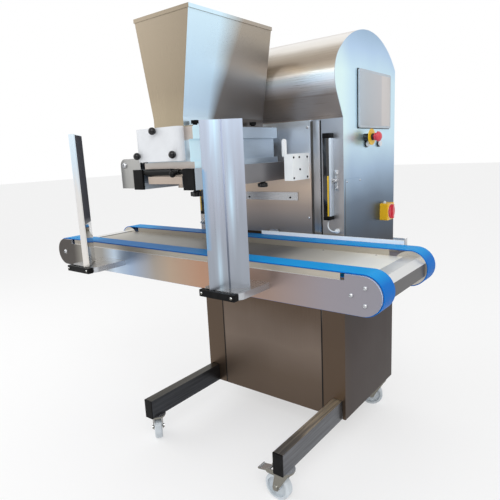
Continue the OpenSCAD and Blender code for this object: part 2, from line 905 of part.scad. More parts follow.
// Spacers between conveyor and cabinet, and the brackets of the tray guide
module conveyor_brackets() {
    color("silver") {
        for (s = [-1, 1])
            block([body_x + s * spacer_x - spacer_w / 2, rear_out_y, conv_axis_z - spacer_h / 2],
                  [body_x + s * spacer_x + spacer_w / 2, front_y, conv_axis_z + spacer_h / 2]);
        for (x = [guide_x0 + guide_bracket_w, guide_x0 + guide_len - guide_bracket_w])
            block([x, rear_out_y, guide_z - guide_bracket_low],
                  [x + guide_bracket_w, rear_out_y + guide_bracket_t, guide_z + guide_h + guide_bracket_up]);
    }
}

// Plastic strip that guides the trays along the far belt
module tray_guide() {
    color("white") block([guide_x0, rear_out_y - guide_t, guide_z],
                         [guide_x0 + guide_len, rear_out_y, guide_z + guide_h]);
}

// Shaft with two pulleys that carry the belts
module belt_roller(x, skin) {
    translate([x, 0, conv_axis_z]) {
        ybar(journal_r, front_out_y + skin, rear_out_y);
        ybar(shaft_r, front_in_y + run_gap, rear_in_y - run_gap);
        ybar(pulley_r, belt_f0, belt_f1);
        ybar(pulley_r, belt_r0, belt_r1);
    }
}
module drive_roller() {
    color("silver") belt_roller(axle_x, journal_skin + run_gap);
}
module idler_roller() {
    color("silver") belt_roller(-axle_x, 0);
}

// Plates that stand out of the conveyor and carry the mirror posts
function post_x(s) = post_mid_x + s * post_half_span;
module post_bracket(x) {
    translate([0, 0, bracket_z - bracket_t]) linear_extrude(bracket_t) {
        translate([x - bracket_w / 2, bracket_front_y + bracket_corner])
            square([bracket_w, bracket_len - bracket_corner]);
        translate([x - bracket_w / 2 + bracket_corner, bracket_front_y])
            square([bracket_w - 2 * bracket_corner, bracket_len]);
        for (s = [-1, 1])
            translate([x + s * (bracket_w / 2 - bracket_corner), bracket_front_y + bracket_corner])
                circle(r = bracket_corner);
    }
}
module post_brackets() {
    color("gainsboro") for (s = [-1, 1]) post_bracket(post_x(s));
}

// Deflecting mirrors of the light curtain: glass on a back with a groove, turned to 45 degrees
module mirror_post() {
    half = post_w / 2;
    translate([0, 0, bracket_z]) linear_extrude(post_h)
        polygon([[-half, 0], [-half, -post_t], [-post_groove, -post_t], [0, -post_t + post_groove],
                 [post_groove, -post_t], [half, -post_t], [half, 0]]);
    block([-half + mirror_t, 0, bracket_z + mirror_t],
          [half - mirror_t, mirror_t, bracket_z + post_h - mirror_t]);
}
module mirror_posts() {
    color("lightsteelblue") for (s = [-1, 1])
        translate([post_x(s), post_y, 0]) rotate([0, 0, s * 45]) mirror_post();
}

// Black bridge handles on the front edges of the post brackets
module bracket_handle(x) {
    z0 = bracket_z - bracket_t / 2 - handle_h / 2;
    y0 = bracket_front_y - handle_out;
    half = handle_len / 2;
    translate([0, 0, z0]) linear_extrude(handle_h) {
        round_rect([x - half, y0], [x + half, y0 + handle_t], handle_t / 2);
        for (s = [-1, 1])
            translate([x + s * (half - handle_foot / 2) - handle_foot / 2, y0 + handle_t / 2])
                square([handle_foot, handle_out - handle_t / 2]);
    }
}
module bracket_handles() {
    color("black") for (s = [-1, 1]) bracket_handle(post_x(s));
}

// Light curtains on the cabinet's returns, each with a clamp at its outer side
module light_curtains() {
    z0 = curtain_z + curtain_clamp_in;
    color("gold") translate([body_x, 0, 0]) for (s = [0, 1])
        mirror([s, 0, 0]) {
            block([curtain_x - curtain_w / 2, front_y - curtain_d, curtain_z],
                  [curtain_x + curtain_w / 2, front_y, curtain_z + curtain_len]);
            block([curtain_x + curtain_w / 2, front_y - curtain_clamp_t, z0],
                  [curtain_x + curtain_w / 2 + curtain_clamp_w, front_y, z0 + curtain_clamp_h]);
        }
}

// A lead runs down from the curtain's lower end and curves back into its gland on the cabinet
function lead(t) =
    let (p0 = [0, front_y - curtain_d / 2, curtain_z],
         p1 = [0, front_y - curtain_d - lead_out, curtain_z - lead_drop],
         p2 = [gland_dx, front_y - gland_len - lead_bend, curtain_z - gland_in],
         p3 = [gland_dx, front_y - gland_len, curtain_z - gland_in],
         u = 1 - t)
    u * u * u * p0 + 3 * u * u * t * p1 + 3 * u * t * t * p2 + t * t * t * p3;
function heading(i) =
    i == 0 ? [0, 0, -1] : i == cable_steps ? [0, 1, 0] :
    let (d = lead((i + 1) / cable_steps) - lead((i - 1) / cable_steps)) d / norm(d);
function ring(i) =
    let (d = heading(i), a = cross(d, [1, 0, 0]), n = a / norm(a), m = cross(d, n))
    [for (k = [0:cable_sides - 1]) let (t = k * 360 / cable_sides)
        lead(i / cable_steps) + cable_r * (cos(t) * n + sin(t) * m)];
module curtain_cable() {
    n = cable_sides;
    points = [for (i = [0:cable_steps]) each ring(i)];
    sides = [for (i = [0:cable_steps - 1], k = [0:n - 1])
        each [[n * i + k, n * i + n + (k + 1) % n, n * i + (k + 1) % n],
              [n * i + k, n * i + n + k, n * i + n + (k + 1) % n]]];
    first = [for (k = [1:n - 2]) [0, k, k + 1]];
    end = n * cable_steps;
    last = [for (k = [1:n - 2]) [end, end + k + 1, end + k]];
    polyhedron(points, concat(sides, first, last));
}
module curtain_gland() {
    translate([gland_dx, 0, curtain_z - gland_in]) {
        ybar(gland_r, front_y - gland_len * gland_nut, front_y);
        ybar(gland_r * gland_neck, front_y - gland_len, front_y - gland_len * gland_nut);
    }
}
module curtain_leads() {
    color("silver") translate([body_x, 0, 0]) for (s = [0, 1])
        mirror([s, 0, 0]) translate([curtain_x, 0, 0]) {
            curtain_cable();
            curtain_gland();
        }
}

// Small cover on the control panel and the locating bar on the front plate
module service_plate() {
    color("silver") block([right_x, front_y + service_y, service_top_z - service_h],
                          [right_x + service_t, front_y + service_y + service_w, service_top_z]);
}
module locating_bar() {
    color("gainsboro") translate([body_x, 0, bar_plate_z])
        block([-bar_plate_w / 2, plate_face_y - bar_plate_t, 0], [bar_plate_w / 2, plate_face_y, bar_plate_h]);
}

// Touch panel: a bezel with a screen let into it
module touch_panel() {
    y0 = front_y + hmi_y - hmi_w / 2;
    z0 = hmi_z - hmi_h / 2;
    lo = [y0 + hmi_border, z0 + hmi_border_low];
    hi = [y0 + hmi_w - hmi_border, z0 + hmi_h - hmi_border];
    color("lightgray") difference() {
        yz(right_x, right_x + hmi_proud) round_rect([y0, z0], [y0 + hmi_w, z0 + hmi_h], hmi_r);
        block([right_x + hmi_proud - hmi_glass_t, lo[0], lo[1]], [right_x + hmi_proud + cut, hi[0], hi[1]]);
    }
}

// Emergency stop and two push buttons: collars on the panel, and the caps that are pushed
module at_estop() {
    translate([right_x, front_y + estop_y, estop_z]) children();
}
module at_button(y) {
    translate([right_x, front_y + y, button_z]) children();
}
module button_collars() {
    neck_x = collar_len + ring_t;
    color("gold") {
        at_estop() difference() {
            union() {
                xbar(collar_r, 0, collar_len);
                xbar(estop_ring_d / 2, collar_len, neck_x);
                xbar(neck_r, neck_x, neck_x + neck_len);
            }
            xbar(estop_stem_r + run_fit, collar_len / 2 - estop_travel, neck_x + neck_len + cut);
        }
        for (y = [start_y, stop_y])
            at_button(y) difference() {
                xbar(button_d / 2 + button_rim, 0, button_rim_t);
                xbar(button_d / 2 + run_gap, button_rim_t - button_travel, button_rim_t + cut);
                xbar(button_stem_r + run_fit, -cut, button_rim_t + cut);
            }
    }
}
module estop_button() {
    cap = collar_len + ring_t + neck_len + estop_travel + run_gap;
    r = estop_d / 2;
    color("red") at_estop() {
        xbar(estop_stem_r, collar_len / 2, cap);
        rotate([0, 90, 0]) translate([0, 0, cap]) rotate_extrude()
            polygon(concat([[0, 0], [estop_skirt_r, 0], [estop_skirt_r, estop_skirt - estop_edge],
                            [r, estop_skirt]],
                           [for (a = [20:14:76]) [r * cos(a), estop_skirt + estop_h * sin(a)]],
                           [[0, estop_skirt + estop_h]]));
    }
}
module push_button(y) {
    x0 = button_rim_t + run_gap;
    at_button(y) {
        xbar(button_stem_r, -button_proud, x0);
        xbar(button_d / 2, x0, button_proud);
    }
}
module start_button() {
    color("white") push_button(start_y);
}
module stop_button() {
    color("black") push_button(stop_y);
}

// Main switch: a yellow box with a red rotary knob
module at_switch() {
    translate([right_x, front_y + switch_y, switch_z]) children();
}
module switch_box() {
    half = switch_w / 2;
    color("gold") at_switch() difference() {
        union() {
            yz(0, switch_d) round_rect([-half, -half], [half, half], switch_corner);
            xbar(switch_plate_r, switch_d, switch_d + switch_plate_t);
        }
        xbar(estop_stem_r + run_fit, switch_d - switch_socket, switch_d + switch_plate_t + cut);
    }
}
module switch_knob() {
    x0 = switch_d + switch_plate_t + run_gap;
    color("red") at_switch() {
        xbar(estop_stem_r, switch_d - switch_stem, x0 + cut);
        xbar(switch_knob_r, x0, x0 + switch_knob_h);
        block([x0 + switch_knob_h, -switch_grip_w / 2, -switch_knob_r + cut],
              [x0 + switch_knob_h + switch_grip_h, switch_grip_w / 2, switch_knob_r - cut]);
    }
}

// Head: top frame under the hopper, roller housing and lower plate, bored for the two rollers
module head_frame() {
    color("lightslategray") translate([body_x, 0, 0]) difference() {
        union() {
            block([-head_top_w / 2, head_front_y, head_mid_top_z], [head_top_w / 2, head_back_y, head_top_z]);
            block([-head_mid_w / 2, head_front_y, head_low_top_z],
                  [head_mid_w / 2, head_back_y, head_mid_top_z]);
            block([-head_low_w / 2, head_front_y, head_low_z], [head_low_w / 2, head_back_y, head_low_top_z]);
        }
        block([-throat_w / 2, throat_y0, roller_z], [throat_w / 2, throat_y1, head_top_z + cut]);
        block([-slot_w / 2, throat_y0, head_low_z - cut], [slot_w / 2, throat_y1, roller_z]);
        for (s = [-1, 1])
            translate([s * roller_span / 2, 0, roller_z]) {
                ybar(roller_bore_r, throat_y0, throat_y1);
                ybar(roller_jr + run_fit, head_front_y - cut, head_back_y + cut);
            }
    }
}

// Fluted feed roller with its journals, drive shaft and gear; the gears of the pair mesh
function gear_point(r, a) = r * [cos(a), sin(a)];
module gear_outline() {
    p = 360 / gear_teeth;
    polygon([for (i = [0:gear_teeth - 1]) each [
        gear_point(gear_root, p * (i - tooth_foot)), gear_point(gear_tip, p * (i - tooth_top)),
        gear_point(gear_tip, p * (i + tooth_top)), gear_point(gear_root, p * (i + tooth_foot))]]);
}
module feed_roller(s, phase) {
    color("silver") translate([body_x + s * roller_span / 2, 0, roller_z]) {
        difference() {
            ybar(roller_r, roller_y0 + run_gap, roller_y1 - run_gap);
            for (i = [0:flutes - 1])
                rotate([0, 360 / flutes * i, 0]) translate([roller_r + flute_out, 0, 0])
                    ybar(flute_r, roller_y0, roller_y1);
        }
        ybar(roller_jr, head_front_y, drive_end_y);
        translate([0, gear_y + (gear_room - gear_w) / 2 + gear_w, 0]) rotate([90, 0, 0]) rotate([0, 0, phase])
            linear_extrude(gear_w) gear_outline();
    }
}
module left_feed_roller() {
    feed_roller(-1, 0);
}
module right_feed_roller() {
    feed_roller(1, 180 / gear_teeth);
}

// Gearbox on the back of the front plate, with its motor
module pump_drive() {
    y1 = front_y + box_len;
    color("dimgray") translate([body_x, 0, roller_z]) {
        difference() {
            block([-box_half_w, front_y, -box_half_h], [box_half_w, y1, box_half_h]);
            for (s = [-1, 1])
                translate([s * roller_span / 2, 0, 0]) {
                    ybar(roller_jr + run_fit, front_y - cut, drive_end_y + run_gap);
                    ybar(gear_tip + gear_clear, gear_y, gear_y + gear_room);
                }
        }
        ybar(motor_neck_r, y1, y1 + motor_neck);
        ybar(motor_r, y1 + motor_neck, y1 + motor_neck + motor_len);
    }
}

// Plastic cover over the front bearings
module front_cover() {
    color("white") translate([cover_x, 0, 0]) difference() {
        translate([0, 0, cover_z]) linear_extrude(cover_h)
            round_rect([-cover_w / 2, cover_front_y], [cover_w / 2, head_front_y + cover_r], cover_r);
        block([-cover_w, head_front_y, cover_z - cut],
              [cover_w, head_front_y + 2 * cover_r, cover_z + cover_h + cut]);
    }
}

// Ball knob whose flat foot seats on a face that looks towards the operator
module ball_knob(x, z) {
    color("black") translate([x, cover_front_y, z]) {
        ybar(knob_stud_r, -knob_stud, 0);
        intersection() {
            translate([0, -knob_stud - ball_r * ball_flat, 0]) sphere(r = ball_r);
            ybar(ball_r + cut, -knob_stud - 2 * ball_r, -knob_stud);
        }
    }
}
module cover_knob_top() {
    ball_knob(cover_x, cover_z + cover_h - knob_in / 2);
}
module cover_knob_left() {
    ball_knob(cover_x - cover_knob_span / 2, cover_z + knob_in);
}
module cover_knob_right() {
    ball_knob(cover_x + cover_knob_span / 2, cover_z + knob_in);
}

// Die block under the rollers with a row of nozzles
module die_block() {
    color("tan") translate([body_x, 0, 0]) difference() {
        union() {
            block([-die_w / 2, die_front_y, die_z], [die_w / 2, die_back_y, head_low_z]);
            block([-die_w / 2, lip_y, die_z], [die_w / 2, die_front_y, die_z + lip_h]);
            for (i = [0:nozzles - 1])
                translate([0, die_mid_y + (i - (nozzles - 1) / 2) * nozzle_pitch, die_z - nozzle_len])
                    cylinder(r = nozzle_d / 2, h = nozzle_len + cut);
        }
        block([-slot_w / 2, throat_y0, die_z + die_h / 3], [slot_w / 2, throat_y1, head_low_z + cut]);
        for (i = [0:nozzles - 1])
            translate([0, die_mid_y + (i - (nozzles - 1) / 2) * nozzle_pitch, die_z - nozzle_len - cut])
                cylinder(r = nozzle_bore / 2, h = nozzle_len + die_h / 2);
    }
}

// Bars at both sides of the die, bored for the clamp rod; the left one has the lugs of the side guard
module side_bars() {
    color("silver") translate([body_x, 0, 0]) {
        for (s = [0, 1])
            mirror([s, 0, 0]) difference() {
                block([bar_x - bar_w, clamp_y + clamp_t, bar_z], [bar_x, plate_face_y, head_low_z]);
                translate([0, rod_y, rod_z]) xbar(rod_r + run_fit, bar_x - bar_w - cut, bar_x - rod_skin);
            }
        for (y = [guard_y0 + lug_in, guard_y1 - lug_in - lug_t])
            difference() {
                union() {
                    block([guard_pin_x - guard_knuckle_r, y, head_low_z],
                          [guard_pin_x + guard_knuckle_r, y + lug_t, guard_pin_z]);
                    translate([guard_pin_x, 0, guard_pin_z]) ybar(guard_knuckle_r, y, y + lug_t);
                }
                translate([guard_pin_x, 0, guard_pin_z]) ybar(guard_pin_r + run_fit, y - cut, y + lug_t + cut);
            }
    }
}

// Black plates on the front ends of the bars
module clamp_blocks() {
    color("black") translate([body_x, 0, 0]) for (s = [0, 1])
        mirror([s, 0, 0])
            block([bar_x - clamp_w, clamp_y, bar_z], [bar_x, clamp_y + clamp_t, head_low_z]);
}

// Clamp rod with its sleeve, collar and lever
module clamp_lever() {
    end = bar_x - rod_skin - run_gap;
    color("black") translate([body_x, rod_y, rod_z]) {
        xbar(rod_r, -end, end);
        xbar(sleeve_d / 2, sleeve_x0, sleeve_x1);
        xbar(clamp_collar_r, sleeve_x1, clamp_collar_x + lever_r + lever_end);
        translate([clamp_collar_x, 0, 0]) rotate([90 + lever_tilt, 0, 0]) {
            cylinder(r = lever_r, h = clamp_collar_r + lever_len);
            translate([0, 0, clamp_collar_r + lever_len]) sphere(r = ball_r * lever_ball);
        }
    }
}

// Plastic guide blocks that stand out of the front plate, each with a pointed prong at its inner side
module guide_block() {
    x0 = guide_block_x;
    y0 = plate_face_y - guide_block_len;
    z1 = guide_block_z + guide_block_h;
    z2 = z1 - prong_seat + prong_h;
    block([x0, y0, guide_block_z], [x0 + guide_block_w, plate_face_y, z1]);
    xz(y0 + prong_in, y0 + prong_in + prong_d) polygon([[x0 - prong_w, z1 - prong_seat], [x0, z1 - prong_seat],
        [x0, z2 - prong_point], [x0 - prong_point, z2], [x0 - prong_w + prong_point, z2],
        [x0 - prong_w, z2 - prong_point]]);
}
module guide_blocks() {
    color("white") translate([body_x, 0, 0]) {
        guide_block();
        mirror([1, 0, 0]) guide_block();
    }
}

// Folded side guard with a closed front end, hung on a pin at the left of the head
module side_guard() {
    x0 = guard_pin_x - guard_w;
    z1 = guard_pin_z + guard_knuckle_r;
    z0 = z1 - guard_h;
    color("silver") translate([body_x, 0, 0]) {
        difference() {
            union() {
                translate([x0 + guard_r, guard_y1, z1 - guard_r]) rotate([90, 0, 0]) rotate([0, 0, 90])
                    rotate_extrude(angle = 90) translate([guard_r - guard_t, 0])
                        square([guard_t, guard_y1 - guard_y0]);
                block([x0, guard_y0, z0], [x0 + guard_t, guard_y1, z1 - guard_r]);
                block([x0 + guard_r, guard_y0, z1 - guard_t], [guard_pin_x, guard_y1, z1]);
                xz(guard_y0, guard_y0 + guard_t) {
                    translate([x0, z0]) square([guard_end_in - x0, guard_h - guard_r]);
                    translate([x0 + guard_r, z0]) square([guard_end_in - x0 - guard_r, guard_h]);
                    translate([x0 + guard_r, z1 - guard_r]) circle(r = guard_r);
                }
            }
            for (y = [guard_y0 + lug_in, guard_y1 - lug_in - lug_t])
                translate([guard_pin_x, 0, guard_pin_z])
                    ybar(guard_knuckle_r * 2, y - run_gap, y + lug_t + run_gap);
        }
        translate([guard_pin_x, 0, guard_pin_z]) {
            ybar(guard_pin_r, guard_y0, guard_y1);
            ybar(guard_knuckle_r, guard_y0, guard_y0 + lug_in - run_gap);
            ybar(guard_knuckle_r, guard_y0 + lug_in + lug_t + run_gap, guard_y1 - lug_in - lug_t - run_gap);
            ybar(guard_knuckle_r, guard_y1 - lug_in + run_gap, guard_y1);
        }
    }
}

// Hopper: straight collar, tapered sides, upright ends, folded rim and a foot flange
function hopper_profile(d) = [
    [-hopper_foot_w / 2 + d, hopper_z - (d > 0 ? 1 : 0)], [hopper_foot_w / 2 - d, hopper_z - (d > 0 ? 1 : 0)],
    [hopper_foot_w / 2 - d, taper_z], [hopper_top_w / 2 - rim_t - d, hopper_top_z],
    [hopper_top_w / 2 - rim_t - d, hopper_top_z + (d > 0 ? 1 : 0)],
    [-hopper_top_w / 2 + rim_t + d, hopper_top_z + (d > 0 ? 1 : 0)],
    [-hopper_top_w / 2 + rim_t + d, hopper_top_z], [-hopper_foot_w / 2 + d, taper_z]
];
module hopper() {
    w = hopper_wall;
    top = hopper_top_w / 2;
    color("burlywood") translate([body_x, 0, 0]) difference() {
        union() {
            xz(hopper_y0, hopper_y1) polygon(hopper_profile(0));
            block([-top, hopper_y0 - rim_t, hopper_top_z - rim_h], [top, hopper_y1 + rim_t, hopper_top_z]);
            for (s = [0, 1])
                mirror([s, 0, 0]) block([hopper_foot_w / 2 - w, hopper_y0, hopper_z],
                                        [hopper_foot_w / 2 + flange_out, hopper_y1, hopper_z + flange_t]);
        }
        xz(hopper_y0 + w, hopper_y1 - w) polygon(hopper_profile(w));
    }
}

// Black knobs that hold the hopper's right flange down on the head
module hopper_knob(y) {
    neck = hopper_knob_h * hopper_knob_neck;
    color("black") translate([body_x + hopper_knob_x, y, hopper_z + flange_t]) {
        cylinder(r = hopper_knob_d * hopper_knob_neck_r, h = neck);
        translate([0, 0, neck]) difference() {
            cylinder(r = hopper_knob_d / 2, h = hopper_knob_h - neck);
            for (a = [0:60:300])
                rotate([0, 0, a]) translate([hopper_knob_d / 2 + hopper_knob_dent_out, 0, -1])
                    cylinder(r = hopper_knob_dent_r, h = hopper_knob_h);
        }
    }
}
module hopper_knob_front() {
    hopper_knob(hopper_knob_y0);
}
module hopper_knob_rear() {
    hopper_knob(hopper_knob_y1);
}

leg_tubes();
leg_end_caps();
floor_pan();
castor_heads();
right_end_panel();
left_end_panel();
cabinet_front_panel();
front_plate();
hood_cover();
rear_cover();
service_plate();
locating_bar();
touch_panel();
button_collars();
estop_button();
start_button();
stop_button();
switch_box();
switch_knob();
light_curtains();
curtain_leads();
mirror_posts();
post_brackets();
bracket_handles();
conveyor_side_plates();
belts();
belt_rails();
bed_pan();
end_covers();
conveyor_brackets();
tray_guide();
drive_roller();
idler_roller();
head_frame();
front_cover();
cover_knob_top();
cover_knob_left();
cover_knob_right();
die_block();
clamp_blocks();
clamp_lever();
side_bars();
guide_blocks();
side_guard();
hopper();
hopper_knob_front();
hopper_knob_rear();
left_feed_roller();
right_feed_roller();
pump_drive();
at_castor(right_leg_x, castor_front_y, swivel_fr) castor_fork(true);  // castor_fork_fr
at_castor(left_leg_x, castor_front_y, swivel_fl) castor_fork(false);  // castor_fork_fl
at_castor(right_leg_x, castor_rear_y, swivel_rr) castor_fork(false);  // castor_fork_rr
at_castor(left_leg_x, castor_rear_y, swivel_rl) castor_fork(true);  // castor_fork_rl
at_castor(right_leg_x, castor_front_y, swivel_fr) castor_wheel();  // castor_wheel_fr
at_castor(left_leg_x, castor_front_y, swivel_fl) castor_wheel();  // castor_wheel_fl
at_castor(right_leg_x, castor_rear_y, swivel_rr) castor_wheel();  // castor_wheel_rr
at_castor(left_leg_x, castor_rear_y, swivel_rl) castor_wheel();  // castor_wheel_rl
at_castor(right_leg_x, castor_front_y, swivel_fr) brake_pedal();  // brake_pedal_fr
at_castor(left_leg_x, castor_rear_y, swivel_rl) brake_pedal();  // brake_pedal_rl
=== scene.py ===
"""Looks of a cookie depositor: a hopper and feed rollers over a tray conveyor, on a stainless cabinet."""

import math

import bmesh
import bpy
from mathutils import Matrix, Vector, geometry


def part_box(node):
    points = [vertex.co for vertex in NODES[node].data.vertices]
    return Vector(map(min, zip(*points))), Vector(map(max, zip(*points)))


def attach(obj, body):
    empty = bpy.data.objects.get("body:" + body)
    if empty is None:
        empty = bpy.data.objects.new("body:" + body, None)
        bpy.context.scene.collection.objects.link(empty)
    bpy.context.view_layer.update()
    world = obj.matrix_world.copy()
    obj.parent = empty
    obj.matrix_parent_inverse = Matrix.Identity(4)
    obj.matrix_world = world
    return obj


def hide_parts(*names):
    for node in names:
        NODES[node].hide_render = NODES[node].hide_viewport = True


bl_info = {
    "name": "Cookie depositor",
    "version": (1, 0, 0),
    "blender": (4, 5, 0),
    "location": "View3D > Sidebar > Depositor",
    "description": "Finishes and small pieces of a cookie depositor",
    "category": "Object",
}

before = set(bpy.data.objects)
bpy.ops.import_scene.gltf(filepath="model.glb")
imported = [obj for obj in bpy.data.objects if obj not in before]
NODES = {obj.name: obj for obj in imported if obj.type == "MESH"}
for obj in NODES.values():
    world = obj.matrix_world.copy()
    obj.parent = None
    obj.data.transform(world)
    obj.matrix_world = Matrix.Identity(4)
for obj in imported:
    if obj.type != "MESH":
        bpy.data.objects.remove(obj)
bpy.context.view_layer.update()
MACHINE = "machine"
MM = 0.001
FRONT, REAR, UP, DOWN = (0, -1, 0), (0, 1, 0), (0, 0, 1), (0, 0, -1)
SHARP_ANGLE = math.radians(35)
BEVEL_ANGLE = math.radians(40)

# Scale of the grain's noise along X, Y and Z; the grain runs along the axis with the small number.
UPRIGHT_GRAIN = (900, 900, 4)
LONG_GRAIN = (4, 900, 900)
DEEP_GRAIN = (900, 4, 900)
PITS = (1400, 1400, 1400)

YELLOW = (0.8, 0.5, 0.012)
# Colour of the painted highlights on the right post.
POST_HIGHLIGHT_COLOUR = (0.62, 0.84, 1.0, 1.0)
POST_HIGHLIGHT_WIDTH = 0.014
# Painted highlight streaks on the right post: distance from its left edge, height, reach up and down, and
# strength.
POST_HIGHLIGHT_STREAKS = ((0.06, 1.31, 0.13, 1.05), (0.108, 1.08, 0.1, 0.85), (0.048, 0.87, 0.11, 0.6))
POST_FOOT = 0.93
HOPPER_OUTLET = 1.33

# Radius and height along a screw head's outline, as shares of its radius.
SCREW_PROFILE = ((0, 0.28), (0.42, 0.28), (0.46, 0.74), (0.62, 0.74), (0.88, 0.52), (1, 0.2), (1, 0), (0, 0))
PLATE_SCREW_INSET = 12 * MM
PLATE_SCREW_HEIGHTS = (0.155, 0.94)
REAR_SCREW_INSET = 22 * MM
REAR_SCREW_ROWS = 5
RIVETS_PER_SIDE = 7
GUIDE_SCREWS = ((0.05, 13), (0.05, 87), (0.38, 13), (0.41, 57), (0.86, 13), (0.86, 87))
KNOB_LOBES = 5
LEAD_STEPS = 31

RAYS = ("Is Camera Ray", "Is Glossy Ray", "Is Transmission Ray")
FLOOR_HALF = 30.0
FLOOR_GLOW = 0.55
SKY_LIGHT = 0.79
# Name, place, size and power of each lamp; all look at the same place.
LAMPS = (("key", (2.2, -2.6, 3.4), 2.2, 60), ("fill", (-2.8, -1.6, 2.4), 2.4, 26))
LAMP_AIM = Vector((0, 0, 0.9))
CAMERA_PLACE = (1.2385, -1.535, 1.2)
CAMERA_TURN, CAMERA_DIP, CAMERA_ROLL = (math.radians(angle) for angle in (38.166, 11.375, 2.736))
CAMERA_SENSOR = 36.0


def operator(operation, swapped=False):
    """A method that adds a math node for one of Python's operators."""
    def apply(self, other):
        first, second = (other, self) if swapped else (self, other)
        return self.finish.node("Math", {"operation": operation}, {0: first, 1: second})
    return apply


class Wire:
    """A shader socket that takes part in Python arithmetic."""

    def __init__(self, finish, socket):
        self.finish = finish
        self.socket = socket

    __add__ = operator("ADD")
    __sub__ = operator("SUBTRACT")
    __rsub__ = operator("SUBTRACT", swapped=True)
    __mul__ = operator("MULTIPLY")
    __truediv__ = operator("DIVIDE")
    __gt__ = operator("GREATER_THAN")
    __lt__ = operator("LESS_THAN")


class Finish:
    """A material whose surface is one Principled shader fed by nodes."""

    def __init__(self, name):
        self.material = bpy.data.materials.new(name)
        self.material.use_nodes = True
        self.tree = self.material.node_tree
        self.shader = self.tree.nodes["Principled BSDF"]

    def node(self, kind, settings=None, inputs=None, out=0):
        """Adds a shader node and gives one of its outputs, or a list of them."""
        made = self.tree.nodes.new("ShaderNode" + kind)
        for key, value in (settings or {}).items():
            if key == "stops":
                self._stops(made.color_ramp, value)
            else:
                setattr(made, key, value)
        for key, value in (inputs or {}).items():
            self._plug(made.inputs[key], value)
        if isinstance(out, (list, tuple)):
            return [Wire(self, made.outputs[o]) for o in out]
        return Wire(self, made.outputs[out])

    def _stops(self, ramp, stops):
        while len(ramp.elements) < len(stops):
            ramp.elements.new(1.0)
        for element, (place, colour) in zip(ramp.elements, stops):
            element.position = place
            element.color = (*colour, 1.0)

    def _plug(self, socket, value):
        if isinstance(value, Wire):
            self.tree.links.new(value.socket, socket)
        else:
            socket.default_value = value

    def feed(self, **values):
        """Sets the shader's inputs; an underscore stands for a space."""
        for key, value in values.items():
            socket = self.shader.inputs[key.replace("_", " ")]
            if isinstance(value, (tuple, list)) and len(value) == 3 and socket.type == "RGBA":
                value = (*value, 1.0)
            self._plug(socket, value)

    def blend(self, factor, first, second, kind="MIX"):
        sockets = {"Factor": factor, 6: first, 7: second}
        return self.node("Mix", {"data_type": "RGBA", "blend_type": kind}, sockets, out=2)

    def multiply(self, first, second):
        return self.blend(1.0, first, second, "MULTIPLY")

    def place(self):
        return self.node("TexCoord", out="Object")

    def noise(self, stretch, detail=2.0, rough=0.5):
        spot = self.node("Mapping", {}, {"Vector": self.place(), "Scale": stretch})
        sockets = {"Vector": spot, "Scale": 1.0, "Detail": detail, "Roughness": rough}
        return self.node("TexNoise", {}, sockets)

    def axes(self):
        """The place on the piece, as X, Y and Z."""
        return self.node("SeparateXYZ", {}, {0: self.place()}, out=[0, 1, 2])

    def facing(self):
        """The direction the surface looks in, as X, Y and Z."""
        normal = self.node("NewGeometry", out="Normal")
        return self.node("SeparateXYZ", {}, {0: normal}, out=[0, 1, 2])

    def bump(self, height, strength, distance):
        sockets = {"Strength": strength, "Distance": distance, "Height": height}
        return self.node("Bump", {}, sockets, out="Normal")


def ramp_of(finish, value, stops):
    """Colours along a value; a stop is its place in the value's own unit, then red, green and blue."""
    low, high = stops[0][0], stops[-1][0]
    placed = [((place - low) / (high - low), colour) for place, *colour in stops]
    return finish.node("ValToRGB", {"stops": placed}, {"Fac": (value - low) / (high - low)})


def spread(stops, wander):
    """How far a tone may wander along its stops."""
    return wander * 2 * (stops[-1][0] - stops[0][0])


def steel(finish, tone, fine, stain, rough, metallic=0.85, **more):
    """Feeds a steel finish, whose grain shows in its tone, its roughness and a slight relief."""
    finish.feed(
        Base_Color=tone,
        Roughness=(fine - 0.5) * 0.22 + (stain - 0.5) * 0.12 + rough,
        Normal=finish.bump(fine, 0.12, 0.0004),
        Metallic=metallic,
        **more,
    )
    return finish.material


def brushed(name, stops, value, grain, rough, wander=0.05, metallic=0.85, front=None, across=None, edge=None,
            graze=1.0):
    """Brushed steel: fine grain along one direction, slow stains, and a tone that follows place or facing,
    which is painted reflection and shade.

    The stops in front give the painted tone by height of the faces that look towards the operator. Across is
    an axis and the stops that dim the tone along it as painted shade, and edge is a painted highlight on the
    cut edges of an upright plate. Graze below 1 holds back the shine of a face that is seen along its
    surface.
    """
    finish = Finish(name)
    fine = finish.noise(grain, 4.0, 0.7)
    stain = finish.noise((5, 5, 5))
    x, y, z = finish.axes()
    nx, ny, nz = finish.facing()
    along = {"x": x, "y": y, "z": z, "nz": nz}[value]
    drift = (fine - 0.5) * 0.6 + (stain - 0.5)
    # Painted reflection and shade: the tone follows place or facing.
    tone = ramp_of(finish, along + drift * spread(stops, wander), stops)
    if front:
        # Painted reflection and shade by height on the faces that look towards the operator.
        painted_front_tone = ramp_of(finish, z + drift * spread(front, wander), front)
        tone = finish.blend(ny < -0.6, tone, painted_front_tone)
    if edge:
        # Painted highlight on the cut edges of an upright plate.
        tone = finish.blend(ny * ny < 0.3, tone, (*edge, 1.0))
    if across:
        axis, shares = across
        # Painted shade along an axis.
        painted_shade = ramp_of(finish, {"x": x, "y": y}[axis] + drift * spread(shares, wander), shares)
        tone = finish.multiply(tone, painted_shade)
    return steel(finish, tone, fine, stain, rough, metallic, Specular_Tint=(graze, graze, graze))


